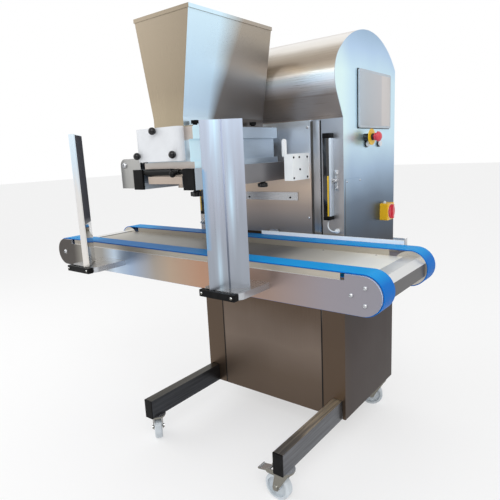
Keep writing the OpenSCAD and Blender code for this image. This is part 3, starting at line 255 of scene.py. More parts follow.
def moulded(name, colour, rough, speck, coat=0.0, pits=0.05, shine=0.5):
    """Moulded or machined plastic: fine pits and a slightly uneven tone."""
    finish = Finish(name)
    fine = finish.noise(PITS, 2.0, 0.6)
    slow = finish.noise((30, 30, 30))
    dark = tuple(c * (1 - speck * 2) for c in colour)
    pale = tuple(min(1.0, c * (1 + speck) + speck * 0.02) for c in colour)
    finish.feed(
        Base_Color=ramp_of(finish, slow, [(0.25, *dark), (0.75, *pale)]),
        Roughness=(fine - 0.5) * 0.18 + (slow - 0.5) * 0.1 + rough,
        Normal=finish.bump(fine, pits, 0.0003),
        Coat_Weight=coat,
        Specular_IOR_Level=shine,
    )
    return finish.material


FINISHES = {}


def build_finishes(looks):
    """Makes each finish once."""
    rough = looks.steel_roughness
    made = FINISHES
    # Tone by height on the cabinet's returns, painted reflection and shade: dark brown low down, pale bluish
    # at the top.
    returns = [
        (0.12, 0.115, 0.08, 0.055), (0.7, 0.1, 0.07, 0.05), (0.8, 0.2, 0.18, 0.16),
        (0.9, 0.46, 0.43, 0.41), (1.1, 0.42, 0.41, 0.42), (1.31, 0.5, 0.54, 0.6)]
    # Painted reflection and shade by height: dark brown below the belts, pale blue above; across dims it
    # towards the rear as painted shade.
    made["end_panel"] = brushed("brushed_end_panel", [
        (0.12, 0.103, 0.083, 0.07), (0.45, 0.077, 0.059, 0.05), (0.75, 0.046, 0.037, 0.032),
        (0.9, 0.105, 0.137, 0.168), (1.0, 0.192, 0.247, 0.298), (1.12, 0.475, 0.613, 0.72),
        (1.24, 0.77, 0.972, 1.0), (1.46, 0.78, 0.99, 1.0), (1.56, 0.594, 0.77, 0.91),
        (1.65, 0.425, 0.58, 0.69)],
        "z", UPRIGHT_GRAIN, rough, 0.02, front=returns, graze=0.65,
        across=("y", [(0.0, 1.0, 1.0, 1.0), (0.06, 1.0, 1.0, 1.0), (0.13, 0.87, 0.9, 1.0),
                      (0.55, 0.86, 0.9, 1.0)]))
    # Milder painted reflection and shade by height: darker low down, paler higher up.
    made["plain_panel"] = brushed("brushed_plain_panel", [
        (0.12, 0.2, 0.18, 0.165), (0.6, 0.24, 0.225, 0.215), (1.0, 0.33, 0.34, 0.36),
        (1.4, 0.46, 0.51, 0.56), (1.65, 0.5, 0.57, 0.64)],
        "z", UPRIGHT_GRAIN, rough, 0.03, front=returns)
    made["return"] = brushed("brushed_return", returns, "z", UPRIGHT_GRAIN, rough, 0.02)
    # Painted reflection and shade by height: warm brown, palest in the middle and darkest near the top.
    made["lower_front"] = brushed("brushed_lower_front", [
        (0.12, 0.124, 0.09, 0.066), (0.24, 0.141, 0.104, 0.078), (0.38, 0.21, 0.163, 0.132),
        (0.48, 0.175, 0.133, 0.105), (0.6, 0.114, 0.077, 0.053), (0.72, 0.045, 0.028, 0.015),
        (0.9, 0.045, 0.028, 0.015)],
        "z", UPRIGHT_GRAIN, rough * 1.5, 0.06)
    # Painted shade low down and painted light higher up on the folded lip.
    made["front_lip"] = brushed("folded_lip", [
        (0.12, 0.06, 0.05, 0.04), (0.5, 0.09, 0.07, 0.06), (0.62, 0.44, 0.4, 0.36),
        (0.88, 0.55, 0.52, 0.49)], "z", UPRIGHT_GRAIN, rough, 0.03)
    # Painted shade and reflection by height: darker and warm low down, pale bluish at the top.
    made["front_plate"] = brushed("brushed_front_plate", [
        (0.87, 0.25, 0.24, 0.24), (0.93, 0.34, 0.31, 0.3), (0.99, 0.42, 0.35, 0.31),
        (1.06, 0.66, 0.53, 0.43), (1.11, 0.74, 0.62, 0.54), (1.16, 0.62, 0.62, 0.64),
        (1.23, 0.8, 0.86, 0.94), (1.31, 0.86, 0.93, 1.0)], "z", LONG_GRAIN, rough, 0.02)
    # Bands of painted reflection and highlight by facing: dark brown on the lowest faces, white near the
    # front-most faces, a pale band near the top.
    made["hood"] = brushed("brushed_hood", [
        (-0.75, 0.24, 0.2, 0.175), (-0.5, 0.31, 0.26, 0.23), (-0.35, 0.54, 0.5, 0.49),
        (-0.2, 0.72, 0.72, 0.76), (-0.08, 0.84, 0.92, 1.0), (0.05, 0.9, 0.97, 1.0),
        (0.09, 1.0, 1.0, 1.0), (0.15, 1.0, 0.96, 0.88), (0.2, 0.6, 0.54, 0.46),
        (0.3, 0.46, 0.39, 0.31), (0.45, 0.34, 0.28, 0.22), (0.62, 0.36, 0.3, 0.235),
        (0.76, 0.44, 0.38, 0.31), (0.83, 0.78, 0.74, 0.68), (0.91, 0.84, 0.81, 0.77),
        (1.0, 0.4, 0.35, 0.3)],
        "nz", LONG_GRAIN, rough * 0.9, 0.02, 0.7)
    made["hopper"] = hopper_steel(rough)
    # Painted reflection: pale blue on the side faces towards the front, and a pale bluish band by height on
    # the front faces.
    made["head"] = brushed("machined_head", [
        (-0.45, 0.66, 0.9, 1.0), (-0.3, 0.56, 0.68, 0.8), (-0.1, 0.42, 0.49, 0.57),
        (0.05, 0.45, 0.53, 0.62)], "y", DEEP_GRAIN, rough, 0.03,
        front=[(1.16, 0.44, 0.38, 0.34), (1.182, 0.46, 0.44, 0.42), (1.186, 0.5, 0.6, 0.67),
               (1.248, 0.52, 0.64, 0.72), (1.253, 0.46, 0.42, 0.39), (1.3, 0.46, 0.4, 0.36)])
    # Painted reflection: pale towards the front on the side faces, warm on the front faces.
    made["bars"] = brushed("machined_bars", [
        (-0.48, 0.44, 0.5, 0.56), (-0.3, 0.3, 0.3, 0.32), (0.07, 0.24, 0.22, 0.215)],
        "y", DEEP_GRAIN, rough, 0.03, front=[(1.09, 0.46, 0.38, 0.32), (1.2, 0.48, 0.41, 0.35)])
    # Painted reflections along the length: dark at the left end, a pale blue band, warm further right; edge
    # is a painted highlight on the cut edges.
    made["side_plate"] = brushed("brushed_side_plate", [
        (-0.78, 0.07, 0.062, 0.056), (-0.645, 0.085, 0.075, 0.068), (-0.56, 0.38, 0.36, 0.32),
        (-0.44, 0.34, 0.33, 0.31), (-0.36, 0.6, 0.72, 0.86), (-0.26, 0.36, 0.46, 0.62),
        (-0.12, 0.38, 0.34, 0.3), (-0.04, 0.45, 0.345, 0.26), (0.12, 0.45, 0.265, 0.18),
        (0.4, 0.34, 0.25, 0.215), (0.6, 0.31, 0.285, 0.315), (0.78, 0.29, 0.285, 0.325)],
        "x", LONG_GRAIN, rough, 0.01, edge=(0.86, 0.89, 0.94))
    # Painted reflection: paler towards the right end.
    made["rail"] = brushed("brushed_rail", [
        (-0.7, 0.32, 0.29, 0.25), (-0.1, 0.34, 0.31, 0.265), (0.2, 0.38, 0.35, 0.295),
        (0.7, 0.48, 0.44, 0.375)],
        "x", (60, 900, 900), rough, 0.1, 0.6)
    # Painted reflection along the length: pale at the left end, the head's dark reflection across the middle,
    # pale towards the right end.
    made["pan"] = brushed("brushed_pan", [
        (-0.78, 0.45, 0.43, 0.38), (-0.66, 0.45, 0.43, 0.38), (-0.5, 0.27, 0.256, 0.22),
        (-0.28, 0.245, 0.232, 0.2), (0.22, 0.122, 0.122, 0.122), (0.27, 0.15, 0.15, 0.15),
        (0.36, 0.42, 0.41, 0.38), (0.49, 0.6, 0.58, 0.52), (0.58, 0.92, 0.9, 0.83),
        (0.78, 1.0, 0.97, 0.88)],
        "x", LONG_GRAIN, rough * 1.2, 0.02, 0.35)
    # Painted light by facing: dark on faces that are upright or look down, pale on faces that look up.
    made["nose"] = brushed("brushed_nose", [
        (-1.0, 0.08, 0.078, 0.077), (0.2, 0.1, 0.097, 0.098), (0.5, 0.64, 0.66, 0.68),
        (1.0, 0.72, 0.72, 0.7)], "nz", DEEP_GRAIN, rough, 0.02)
    made["leg"] = leg_steel(rough)
    made["post"] = post_steel(rough)
    # Painted light by facing, darker on faces looking down and pale on top, and painted shade towards its
    # left edge.
    made["guard"] = brushed("brushed_guard", [
        (-1.0, 0.28, 0.27, 0.26), (-0.2, 0.37, 0.37, 0.36), (0.3, 0.42, 0.415, 0.4),
        (1.0, 0.76, 0.72, 0.66)],
        "nz", (110, 110, 1.5), rough, 0.16,
        across=("x", [(-0.19, 0.54, 0.55, 0.58), (-0.175, 0.62, 0.62, 0.63), (-0.162, 0.93, 0.93, 0.93),
                      (-0.15, 1.0, 1.0, 1.0)]))
    # Painted reflection by facing: palest on upright faces, darkest on faces looking down.
    made["bracket"] = brushed("brushed_bracket", [
        (-1.0, 0.24, 0.23, 0.22), (0.0, 0.5, 0.52, 0.55), (1.0, 0.38, 0.37, 0.355)],
        "nz", (150, 5, 3), rough * 0.8, 0.16)
    # Painted light by facing: paler on faces looking up, darker on faces looking down.
    made["bright"] = brushed("bright_steel", [
        (-1.0, 0.34, 0.34, 0.35), (0.2, 0.55, 0.56, 0.58), (1.0, 0.72, 0.74, 0.77)],
        "nz", (900, 900, 900), rough * 0.7, 0.03)
    # Painted light by facing: bright on faces looking up, dark on faces looking down.
    made["zinc"] = brushed("zinc_plate", [
        (-1.0, 0.1, 0.096, 0.085), (0.0, 0.23, 0.22, 0.19), (0.2, 0.34, 0.34, 0.32),
        (0.6, 0.78, 0.8, 0.8), (1.0, 0.84, 0.86, 0.88)], "nz", (300, 300, 300), rough * 0.55, 0.05)
    # Painted light by facing: paler on top, darker underneath.
    made["roller"] = brushed("turned_roller", [
        (-1.0, 0.44, 0.42, 0.38), (1.0, 0.6, 0.57, 0.52)], "nz", DEEP_GRAIN, rough * 0.9)
    # Painted reflection: paler higher up.
    made["profile"] = brushed("satin_profile", [
        (0.94, 0.62, 0.7, 0.78), (1.26, 0.76, 0.85, 0.93)], "z", (500, 500, 3), rough, 0.05, 0.6)
    white = tuple(looks.plastic_white)
    # Key, material and colour, then roughness, speckle, coat, depth of the pits and shine.
    for key, name, colour, *values in (
            ("drive", "enamel_drive", (0.1, 0.12, 0.14), 0.42, 0.05),
            ("nylon", "natural_nylon", (0.58, 0.63, 0.67), 0.34, 0.06),
            ("white", "white_plastic", white, 0.38, 0.02),
            # Brighter copy of the white plastic for the guide blocks and the tray guide: painted light on the
            # same plastic as white.
            ("guide_white", "white_block", tuple(min(1.0, c * 1.41) for c in white), 0.38, 0.02),
            ("black", "black_plastic", (0.004, 0.004, 0.0045), 0.45, 0.2, 0.0, 0.05, 0.09),
            ("knob", "gloss_black_plastic", (0.008, 0.008, 0.009), 0.16, 0.1, 0.12, 0.0, 0.3),
            # Grey of the painted shadow in the gaps beside the front plate.
            ("seal", "dull_seal", (0.075, 0.072, 0.07), 0.6, 0.1, 0.0, 0.05, 0.08),
            ("lever", "satin_black_rod", (0.006, 0.006, 0.006), 0.34, 0.1, 0.0, 0.05, 0.12),
            ("bezel", "grey_bezel", (0.44, 0.5, 0.56), 0.36, 0.04),
            ("yellow", "yellow_plastic", YELLOW, 0.34, 0.05, 0.2),
            ("red", "red_plastic", tuple(looks.stop_colour), 0.3, 0.06, 0.3),
            ("lead", "pale_lead", (0.66, 0.7, 0.73), 0.45, 0.05),
            ("window", "dark_window", (0.008, 0.008, 0.01), 0.14, 0.1, 0.6, 0.0)):
        made[key] = moulded(name, colour, *values)
    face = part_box("switch_box")[1].x
    made["switch_box"] = banded(
        "switch_box", (0.8, 0.46, 0.012), (0.8, 0.7, 0.46), (face - 0.3 * MM, face + MM))
    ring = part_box("button_collars")[0].x
    made["collars"] = banded(
        "stop_collars", (0.012, 0.012, 0.014), YELLOW, (ring + 27.5 * MM, ring + 31.5 * MM))
    made["belt"] = belt_cover(looks.belt_colour)
    made["screen"] = pane()
    made["mirror"] = mirror_glass()


def hopper_steel(rough):
    """The hopper's sheet with painted reflections: warm on the operator's side, pale at the right front, and
    dull towards the back.
    """
    finish = Finish("brushed_hopper")
    fine = finish.noise(UPRIGHT_GRAIN, 4.0, 0.7)
    stain = finish.noise((4, 4, 4))
    x, y, z = finish.axes()
    nx, ny, nz = finish.facing()
    drift = (fine - 0.5) * 0.03 + (stain - 0.5) * 0.05
    # Painted warm reflection on the faces that do not look to the right.
    warm_reflection = ramp_of(finish, z + drift, [
        (1.29, 0.315, 0.262, 0.182), (1.4, 0.25, 0.205, 0.145), (1.64, 0.268, 0.223, 0.165)])
    # Painted pale reflection at the right front.
    pale_reflection = ramp_of(finish, z + drift, [
        (1.29, 0.7, 0.86, 0.97), (1.36, 0.54, 0.71, 0.88), (1.47, 0.58, 0.78, 0.95),
        (1.64, 0.68, 0.88, 1.0)])
    # Painted dull reflection towards the back.
    rear = ramp_of(finish, z + drift, [
        (1.33, 0.17, 0.16, 0.155), (1.45, 0.215, 0.21, 0.21), (1.53, 0.33, 0.32, 0.315),
        (1.6, 0.4, 0.355, 0.3)])
    rise = z - HOPPER_OUTLET
    reach = y + drift * 0.5 + 0.318 - rise * 0.1
    # Faces that look to the right blend from the pale painted reflection at the front to the dull one at the
    # back.
    side = finish.blend(reach / (rise * 0.25 + 0.04), pale_reflection, rear)
    return steel(finish, finish.blend(nx > 0.5, warm_reflection, side), fine, stain, rough * 0.9, 0.8)


def leg_steel(rough):
    """The leg tubes: scuffs along their length, with painted light on the right one, a pale top and a cream
    highlight on its rounded edges, and painted shade on the left one.
    """
    finish = Finish("brushed_leg")
    fine = finish.noise((150, 4, 150), 4.0, 0.7)
    stain = finish.noise((5, 5, 5))
    x, y, z = finish.axes()
    nx, ny, nz = finish.facing()
    low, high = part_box("leg_tubes")
    drift = (fine - 0.5) * 0.4 + (stain - 0.5) * 0.2
    # Painted light on the right leg's top, rising to a cream highlight towards the middle of its length.
    top = ramp_of(finish, y + drift, [
        (low.y, 0.42, 0.4, 0.37), (low.y * 0.7, 0.52, 0.48, 0.42), (low.y * 0.45, 0.95, 0.86, 0.7),
        (0.0, 1.0, 0.9, 0.7)])
    # Right leg: dark sides, and the painted light on its top.
    right = finish.blend(nz > 0.5, (0.152, 0.157, 0.17, 1.0), top)
    # Painted highlight on the rounded edges between top and sides.
    right = finish.blend((nz > 0.25) * (nz < 0.95), right, (1.0, 0.96, 0.88, 1.0))
    # Left leg: dark all over, painted shade.
    left = finish.blend(nz > 0.5, (0.053, 0.056, 0.063, 1.0), (0.066, 0.06, 0.049, 1.0))
    scuffs = ramp_of(finish, fine, [(0.36, 0.58, 0.58, 0.58), (0.6, 1.0, 1.0, 1.0)])
    return steel(finish, finish.multiply(finish.blend(x > 0.0, left, right), scuffs), fine, stain, rough)


def post_steel(rough):
    """The posts' sheet: streaks down its length and painted reflections, pale on the left post's inner faces,
    greyer elsewhere, with painted highlights in streaks and in the groove.
    """
    finish = Finish("satin_post")
    fine = finish.noise((110, 110, 0.8), 4.0, 0.6)
    streak = finish.noise((26, 26, 2.4))
    stain = finish.noise((6, 6, 3))
    x, y, z = finish.axes()
    nx, ny, nz = finish.facing()
    drift = (fine - 0.5) * 0.1 + (streak - 0.5) * 0.55 + (stain - 0.5) * 0.06
    # Painted reflection on the right post: paler higher up.
    right = ramp_of(finish, z + drift, [
        (0.8, 0.32, 0.35, 0.4), (0.93, 0.35, 0.38, 0.44), (1.05, 0.42, 0.45, 0.53),
        (1.3, 0.49, 0.56, 0.68), (1.45, 0.58, 0.68, 0.82)])
    # Painted highlight streaks where the streak noise is strong.
    right = finish.blend((streak - 0.64) * 6, right, POST_HIGHLIGHT_COLOUR)
    low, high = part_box("mirror_posts")
    inward = x + y - (high.x + low.y - 85 * MM)
    # Painted highlight streaks at the listed places.
    for centre, height, reach, strength in POST_HIGHLIGHT_STREAKS:
        aside = (inward - centre) / POST_HIGHLIGHT_WIDTH
        along = (z - height) / reach
        highlight = ((fine - 0.5) * 1.2 + strength) / (aside * aside * 2 + along * along * 2 + 1)
        right = finish.blend(highlight - 0.1, right, POST_HIGHLIGHT_COLOUR)
    # Deeper blue along the right post's left edge, below 1.2 m.
    rim = (1 - inward * 45) * (x > 0.0) * (z > POST_FOOT) * (z + drift < 1.2)
    right = finish.blend(rim * 0.85, right, (0.2, 0.42, 0.68, 1.0))
    # Painted highlight in the groove, stronger higher up.
    groove = (nx * nx > 0.9) + (ny * ny > 0.9)
    right = finish.blend(groove * (z - POST_FOOT) * 4, right, (0.64, 0.69, 0.8, 1.0))
    # Painted reflection on the left post's inner faces: pale, bluish higher up.
    left = ramp_of(finish, z + drift, [
        (0.85, 0.8, 0.77, 0.73), (1.0, 0.76, 0.75, 0.74), (1.12, 0.68, 0.79, 0.88),
        (1.3, 0.78, 0.88, 0.95)])
    tone = finish.blend((x < 0.0) * (nx > -0.2), right, left)
    return steel(finish, tone, fine, stain, rough * 0.9)


def belt_cover(colour):
    """The belts' smooth cover: full colour on the upper run, painted shade where the belt turns down, and
    darker across the middle of its length.
    """
    finish = Finish("blue_belt")
    fine = finish.noise(PITS, 2.0, 0.6)
    slow = finish.noise((3, 30, 30))
    x, y, z = finish.axes()
    nx, ny, nz = finish.facing()
    red, green, blue = colour
    # Painted shade on the faces that turn down.
    cover = ramp_of(finish, nz + (slow - 0.5) * 0.12, [
        (-1.0, red * 0.5, green * 0.45, blue * 0.72), (0.5, red * 0.5, green * 0.5, blue * 0.76),
        (0.98, red, green, blue)])
    # Darker across the middle of the length.
    darker_middle = ramp_of(finish, x + (slow - 0.5) * 0.1, [
        (-0.77, 1.0, 1.0, 1.0), (-0.58, 0.9, 0.9, 0.9), (-0.48, 0.46, 0.46, 0.56),
        (-0.1, 0.5, 0.52, 0.64), (0.25, 0.85, 0.85, 0.9), (0.5, 1.0, 1.0, 1.0)])
    finish.feed(
        Base_Color=finish.multiply(cover, darker_middle),
        Roughness=(fine - 0.5) * 0.18 + (slow - 0.5) * 0.1 + 0.44,
        Normal=finish.bump(fine, 0.05, 0.0003),
        Specular_IOR_Level=0.05,
    )
    return finish.material


def banded(name, outer, inner, band):
    """Moulded plastic with a band of another colour between two places along X."""
    finish = Finish(name)
    fine = finish.noise(PITS, 2.0, 0.6)
    x, y, z = finish.axes()
    within = (x > band[0]) * (x < band[1])
    finish.feed(
        Base_Color=finish.blend(within, (*outer, 1.0), (*inner, 1.0)),
        Roughness=(fine - 0.5) * 0.16 + 0.36,
        Normal=finish.bump(fine, 0.04, 0.0003),
    )
    return finish.material


def pane():
    """Blank pane with a paler band along its rear edge, which is a painted reflection."""
    finish = Finish("dull_pane")
    low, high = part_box("touch_panel")
    slow = finish.noise((12, 12, 12))
    x, y, z = finish.axes()
    share = (y - low.y) / (high.y - low.y) + (slow - 0.5) * 0.02
    # Painted reflection: a paler band along the rear edge.
    tone = ramp_of(finish, share, [
        (0.0, 0.42, 0.48, 0.54), (0.2, 0.42, 0.46, 0.5), (0.66, 0.45, 0.45, 0.47),
        (0.7, 0.56, 0.53, 0.52), (1.0, 0.58, 0.55, 0.54)])
    finish.feed(Base_Color=tone, Roughness=(slow - 0.5) * 0.1 + 0.3)
    return finish.material


def mirror_glass():
    """Mirror with a painted dark reflection above the belts, and clear beside them."""
    finish = Finish("mirror_glass")
    haze = finish.noise((8, 8, 8))
    x, y, z = finish.axes()
    # Painted dark reflection above the belts, plain mirror below.
    tone = ramp_of(finish, z + (haze - 0.5) * 0.02, [
        (0.85, 0.72, 0.72, 0.72), (0.95, 0.62, 0.62, 0.62), (0.99, 0.11, 0.11, 0.125),
        (1.3, 0.1, 0.1, 0.115)])
    finish.feed(
        Base_Color=tone,
        Roughness=(haze - 0.5) * 0.04 + 0.06,
        Metallic=z < 0.97,
        Specular_IOR_Level=0.0,
    )
    return finish.material


def dress(finish, *names):
    """Gives CAD nodes a finish."""
    for name in names:
        slots = NODES[name].data.materials
        slots.clear()
        slots.append(FINISHES[finish])


def soften(width, *names):
    """Rounds the sharp edges of CAD nodes a little, without touching their meshes."""
    for name in names:
        edge = NODES[name].modifiers.new("edge", "BEVEL")
        edge.width = width
        edge.segments = 2
        edge.limit_method = "ANGLE"
        edge.angle_limit = BEVEL_ANGLE


def piece(name, bm, finish, body=MACHINE, stands_for=()):
    """Turns a bmesh into a piece that rides on a body."""
    mesh = bpy.data.meshes.new(name)
    bmesh.ops.recalc_face_normals(bm, faces=bm.faces)
    bm.to_mesh(mesh)
    bm.free()
    made = bpy.data.objects.new(name, mesh)
    bpy.context.scene.collection.objects.link(made)
    mesh.materials.append(FINISHES[finish])
    mesh.shade_smooth()
    mesh.set_sharp_from_angle(angle=SHARP_ANGLE)
    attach(made, body)
    if stands_for:
        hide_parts(*stands_for)
    return made


def mm(*points):
    """Points whose measures are given in millimetres."""
    return [tuple(measure * MM for measure in point) for point in points]


def add_block(bm, low, high, edge, turn=None):
    """Adds a box with rounded edges between two corners, and turns it if asked."""
    low, high = Vector(low), Vector(high)
    size = high - low
    place = Matrix.Translation((low + high) / 2) @ Matrix.Diagonal((*size, 1.0))
    made = bmesh.ops.create_cube(bm, size=1.0, matrix=place)["verts"]
    edges = list({e for v in made for e in v.link_edges})
    rounded = bmesh.ops.bevel(bm, geom=edges, offset=edge, segments=2, affect="EDGES", profile=0.5)
    made = list({v for f in rounded["faces"] for v in f.verts} | {v for v in made if v.is_valid})
    if turn is not None:
        bmesh.ops.transform(bm, matrix=turn, verts=made)


def beside(bm, middle, side, low, high, edge):
    """Adds a rounded block on one side of a middle plane; its X places are distances from that plane."""
    xs = sorted((middle + side * low[0], middle + side * high[0]))
    add_block(bm, (xs[0], *low[1:]), (xs[1], *high[1:]), edge)


def add_ring(bm, turn, radius, height, sides):
    """Adds a ring of vertices round the turned Z axis."""
    angles = (2 * math.pi * k / sides for k in range(sides))
    return [bm.verts.new(turn @ Vector((radius * math.cos(a), radius * math.sin(a), height))) for a in angles]


def add_tube(bm, places, radius, sides):
    """Adds a round lead along a row of places."""
    rings = []
    for i, place in enumerate(places):
        ahead = places[min(i + 1, len(places) - 1)] - places[max(i - 1, 0)]
        rings.append(add_ring(bm, Matrix.Translation(place) @ towards(ahead), radius, 0, sides))
    for low, high in zip(rings, rings[1:]):
        for k in range(sides):
            bm.faces.new((low[k], low[(k + 1) % sides], high[(k + 1) % sides], high[k]))
    bm.faces.new(list(reversed(rings[0])))
    bm.faces.new(rings[-1])


def towards(direction):
    """A turn that carries +Z to a direction."""
    return Vector(direction).normalized().to_track_quat("Z", "Y").to_matrix().to_4x4()


def add_lathe(bm, profile, place, direction, segments=40):
    """Adds a turned form: profile points are (radius, height) along a direction from a place."""
    turn = Matrix.Translation(Vector(place)) @ towards(direction)
    rings = []
    for radius, height in profile:
        if radius < 1e-7:
            rings.append([bm.verts.new(turn @ Vector((0, 0, height)))])
        else:
            rings.append(add_ring(bm, turn, radius, height, segments))
    for low, high in zip(rings, rings[1:]):
        for i in range(segments):
            j = (i + 1) % segments
            corners = [low[i % len(low)], low[j % len(low)], high[j % len(high)], high[i % len(high)]]
            unique = list(dict.fromkeys(corners))
            if len(unique) > 2:
                bm.faces.new(unique)


def add_screw(bm, place, direction, radius):
    """Adds a domed screw head with a socket."""
    add_lathe(bm, [(r * radius, h * radius) for r, h in SCREW_PROFILE], place, direction, 20)


def screws(name, places, direction, radius, finish="bright", body=MACHINE):
    """A group of like screws as one piece."""
    bm = bmesh.new()
    for place in places:
        add_screw(bm, place, direction, radius)
    piece(name, bm, finish, body)


def colour_setting(name, description, default):
    """A colour that a user would change."""
    return bpy.props.FloatVectorProperty(
        name=name, description=description, default=default, subtype="COLOR", size=3, min=0.0, max=1.0)


class DepositorLooks(bpy.types.PropertyGroup):
    """Sizes and colours that a user would change."""

    steel_roughness: bpy.props.FloatProperty(
        name="Steel roughness", description="Roughness of the brushed steel", default=0.34, min=0.1, max=0.8)
    belt_colour: colour_setting("Belt colour", "Colour of the two belts", (0.008, 0.3, 0.7))
    plastic_white: colour_setting("White plastic", "Colour of the head's plastic pieces", (0.68, 0.7, 0.73))
    stop_colour: colour_setting("Stop colour", "Colour of the stop and the main switch", (0.62, 0.035, 0.06))
    screw_radius: bpy.props.FloatProperty(
        name="Screw radius", description="Radius of the screw heads on the conveyor", default=0.007,
        min=0.003, max=0.012, unit="LENGTH")
    camera_lens: bpy.props.FloatProperty(
        name="Lens", description="Focal length of the camera in millimetres", default=34.573, min=10, max=120)


def looks():
    """The scene's settings."""
    return bpy.context.scene.depositor_looks


class DEPOSITOR_OT_cabinet(bpy.types.Operator):
    """Cabinet panels, hood and the strips and screws on them"""

    bl_idname = "depositor.cabinet"
    bl_label = "Cabinet"

    def execute(self, context):
        dress("end_panel", "right_end_panel", "service_plate")
        dress("plain_panel", "left_end_panel", "rear_cover")
        dress("lower_front", "cabinet_front_panel", "floor_pan")
        dress("front_plate", "front_plate")
        dress("bright", "locating_bar")
        dress("hood", "hood_cover")
        soften(0.8 * MM, "service_plate", "locating_bar", "front_plate")
        self.jamb_strips()
        self.front_seams()
        self.fasteners()
        return {"FINISHED"}

    def jamb_strips(self):
        """Strip beside each edge of the front plate, with a dark strip on both sides as painted shadow in the
        gaps, and a bright folded lip whose brightness is a painted highlight.
        """
        plate_low, plate_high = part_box("front_plate")
        strips, shaded_gaps, seam_shadows, lips = (bmesh.new() for _ in range(4))
        middle = (plate_low.x + plate_high.x) / 2
        edge = plate_high.x - middle
        face = plate_high.y
        for side in (-1, 1):
            # Distances from the plate's middle, how far each one stands out, and its rounding.
            for bm, inner, outer, proud, round_by in (
                    (strips, 0.241, 0.27, 3 * MM, 0.8 * MM),
                    (shaded_gaps, edge + 0.3 * MM, 0.2408, 1.2 * MM, 0.3 * MM),
                    (seam_shadows, 0.2702, 0.2742, 1.6 * MM, 0.4 * MM),
                    (lips, 0.2675, 0.27, 3.6 * MM, 0.5 * MM)):
                beside(bm, middle, side, (inner, face - proud, plate_low.z + 2 * MM),
                       (outer, face, plate_high.z - 4 * MM), round_by)
        piece("jamb_strips", strips, "return")
        # Dark strips painted as the shadow in the gaps on both sides, and a bright lip as a painted
        # highlight.
        piece("jamb_gap_shadows", shaded_gaps, "seal")
        piece("jamb_seam_shadows", seam_shadows, "black")
        piece("jamb_lips", lips, "bright")

    def front_seams(self):
        """Dark strip painted as the shadow in each seam, and a folded lip, along each side of the lower front
        panel.
        """
        low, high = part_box("cabinet_front_panel")
        seam_shadows, lips = bmesh.new(), bmesh.new()
        for x in (low.x, high.x):
            add_block(seam_shadows, (x - 3 * MM, low.y - 0.5 * MM, low.z + 2 * MM),
                      (x + 2 * MM, low.y + MM, high.z - 2 * MM), 0.3 * MM)
            add_block(lips, (x + 2 * MM, low.y - 0.9 * MM, low.z + 2 * MM),
                      (x + 3.4 * MM, low.y + MM, high.z - 2 * MM), 0.4 * MM)
        # Painted shadow in the seams.
        piece("front_seam_shadows", seam_shadows, "black")
        piece("front_lips", lips, "front_lip")

    def fasteners(self):
        """Screws on the front plate, the locating bar, the rear cover and the service plate."""
        plate_low, plate_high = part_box("front_plate")
        middle = (plate_low.x + plate_high.x) / 2
        across = plate_high.x - middle - PLATE_SCREW_INSET
        places = [(middle + side * across, plate_low.y, plate_low.z + (plate_high.z - plate_low.z) * share)
                  for side in (-1, 1) for share in PLATE_SCREW_HEIGHTS]
        screws("plate_screws", places, FRONT, 5 * MM)
        low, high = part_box("locating_bar")
        places = [(x, low.y, low.z + 11 * MM) for x in (high.x - 35 * MM, high.x - 238 * MM, low.x + 35 * MM)]
        screws("locating_bar_screws", places, FRONT, 4 * MM, "black")
        low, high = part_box("rear_cover")
        rise = (high.z - low.z - 2 * REAR_SCREW_INSET) / (REAR_SCREW_ROWS - 1)
        sides = (low.x + REAR_SCREW_INSET, high.x - REAR_SCREW_INSET)
        places = [(x, high.y, low.z + REAR_SCREW_INSET + rise * row)
                  for x in sides for row in range(REAR_SCREW_ROWS)]
        screws("rear_cover_screws", places, REAR, 5 * MM)
        low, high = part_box("service_plate")
        inset = 10 * MM
        heights = (low.z + inset, high.z - inset)
        places = [(high.x, y, z) for y in (low.y + inset, high.y - inset) for z in heights]
        screws("service_screws", places, (1, 0, 0), 3.5 * MM)


class DEPOSITOR_OT_stand(bpy.types.Operator):
    """Leg tubes and castors"""

    bl_idname = "depositor.stand"
    bl_label = "Stand"

    def execute(self, context):
        dress("leg", "leg_tubes")
        dress("black", "leg_end_caps")
        dress("zinc", "castor_heads", "brake_pedal_fr", "brake_pedal_rl")
        soften(2.0 * MM, "leg_end_caps")
        for corner in ("fr", "fl", "rr", "rl"):
            dress("zinc", "castor_fork_" + corner)
            dress("nylon", "castor_wheel_" + corner)
            soften(0.8 * MM, "castor_fork_" + corner)
            soften(2.0 * MM, "castor_wheel_" + corner)
        return {"FINISHED"}


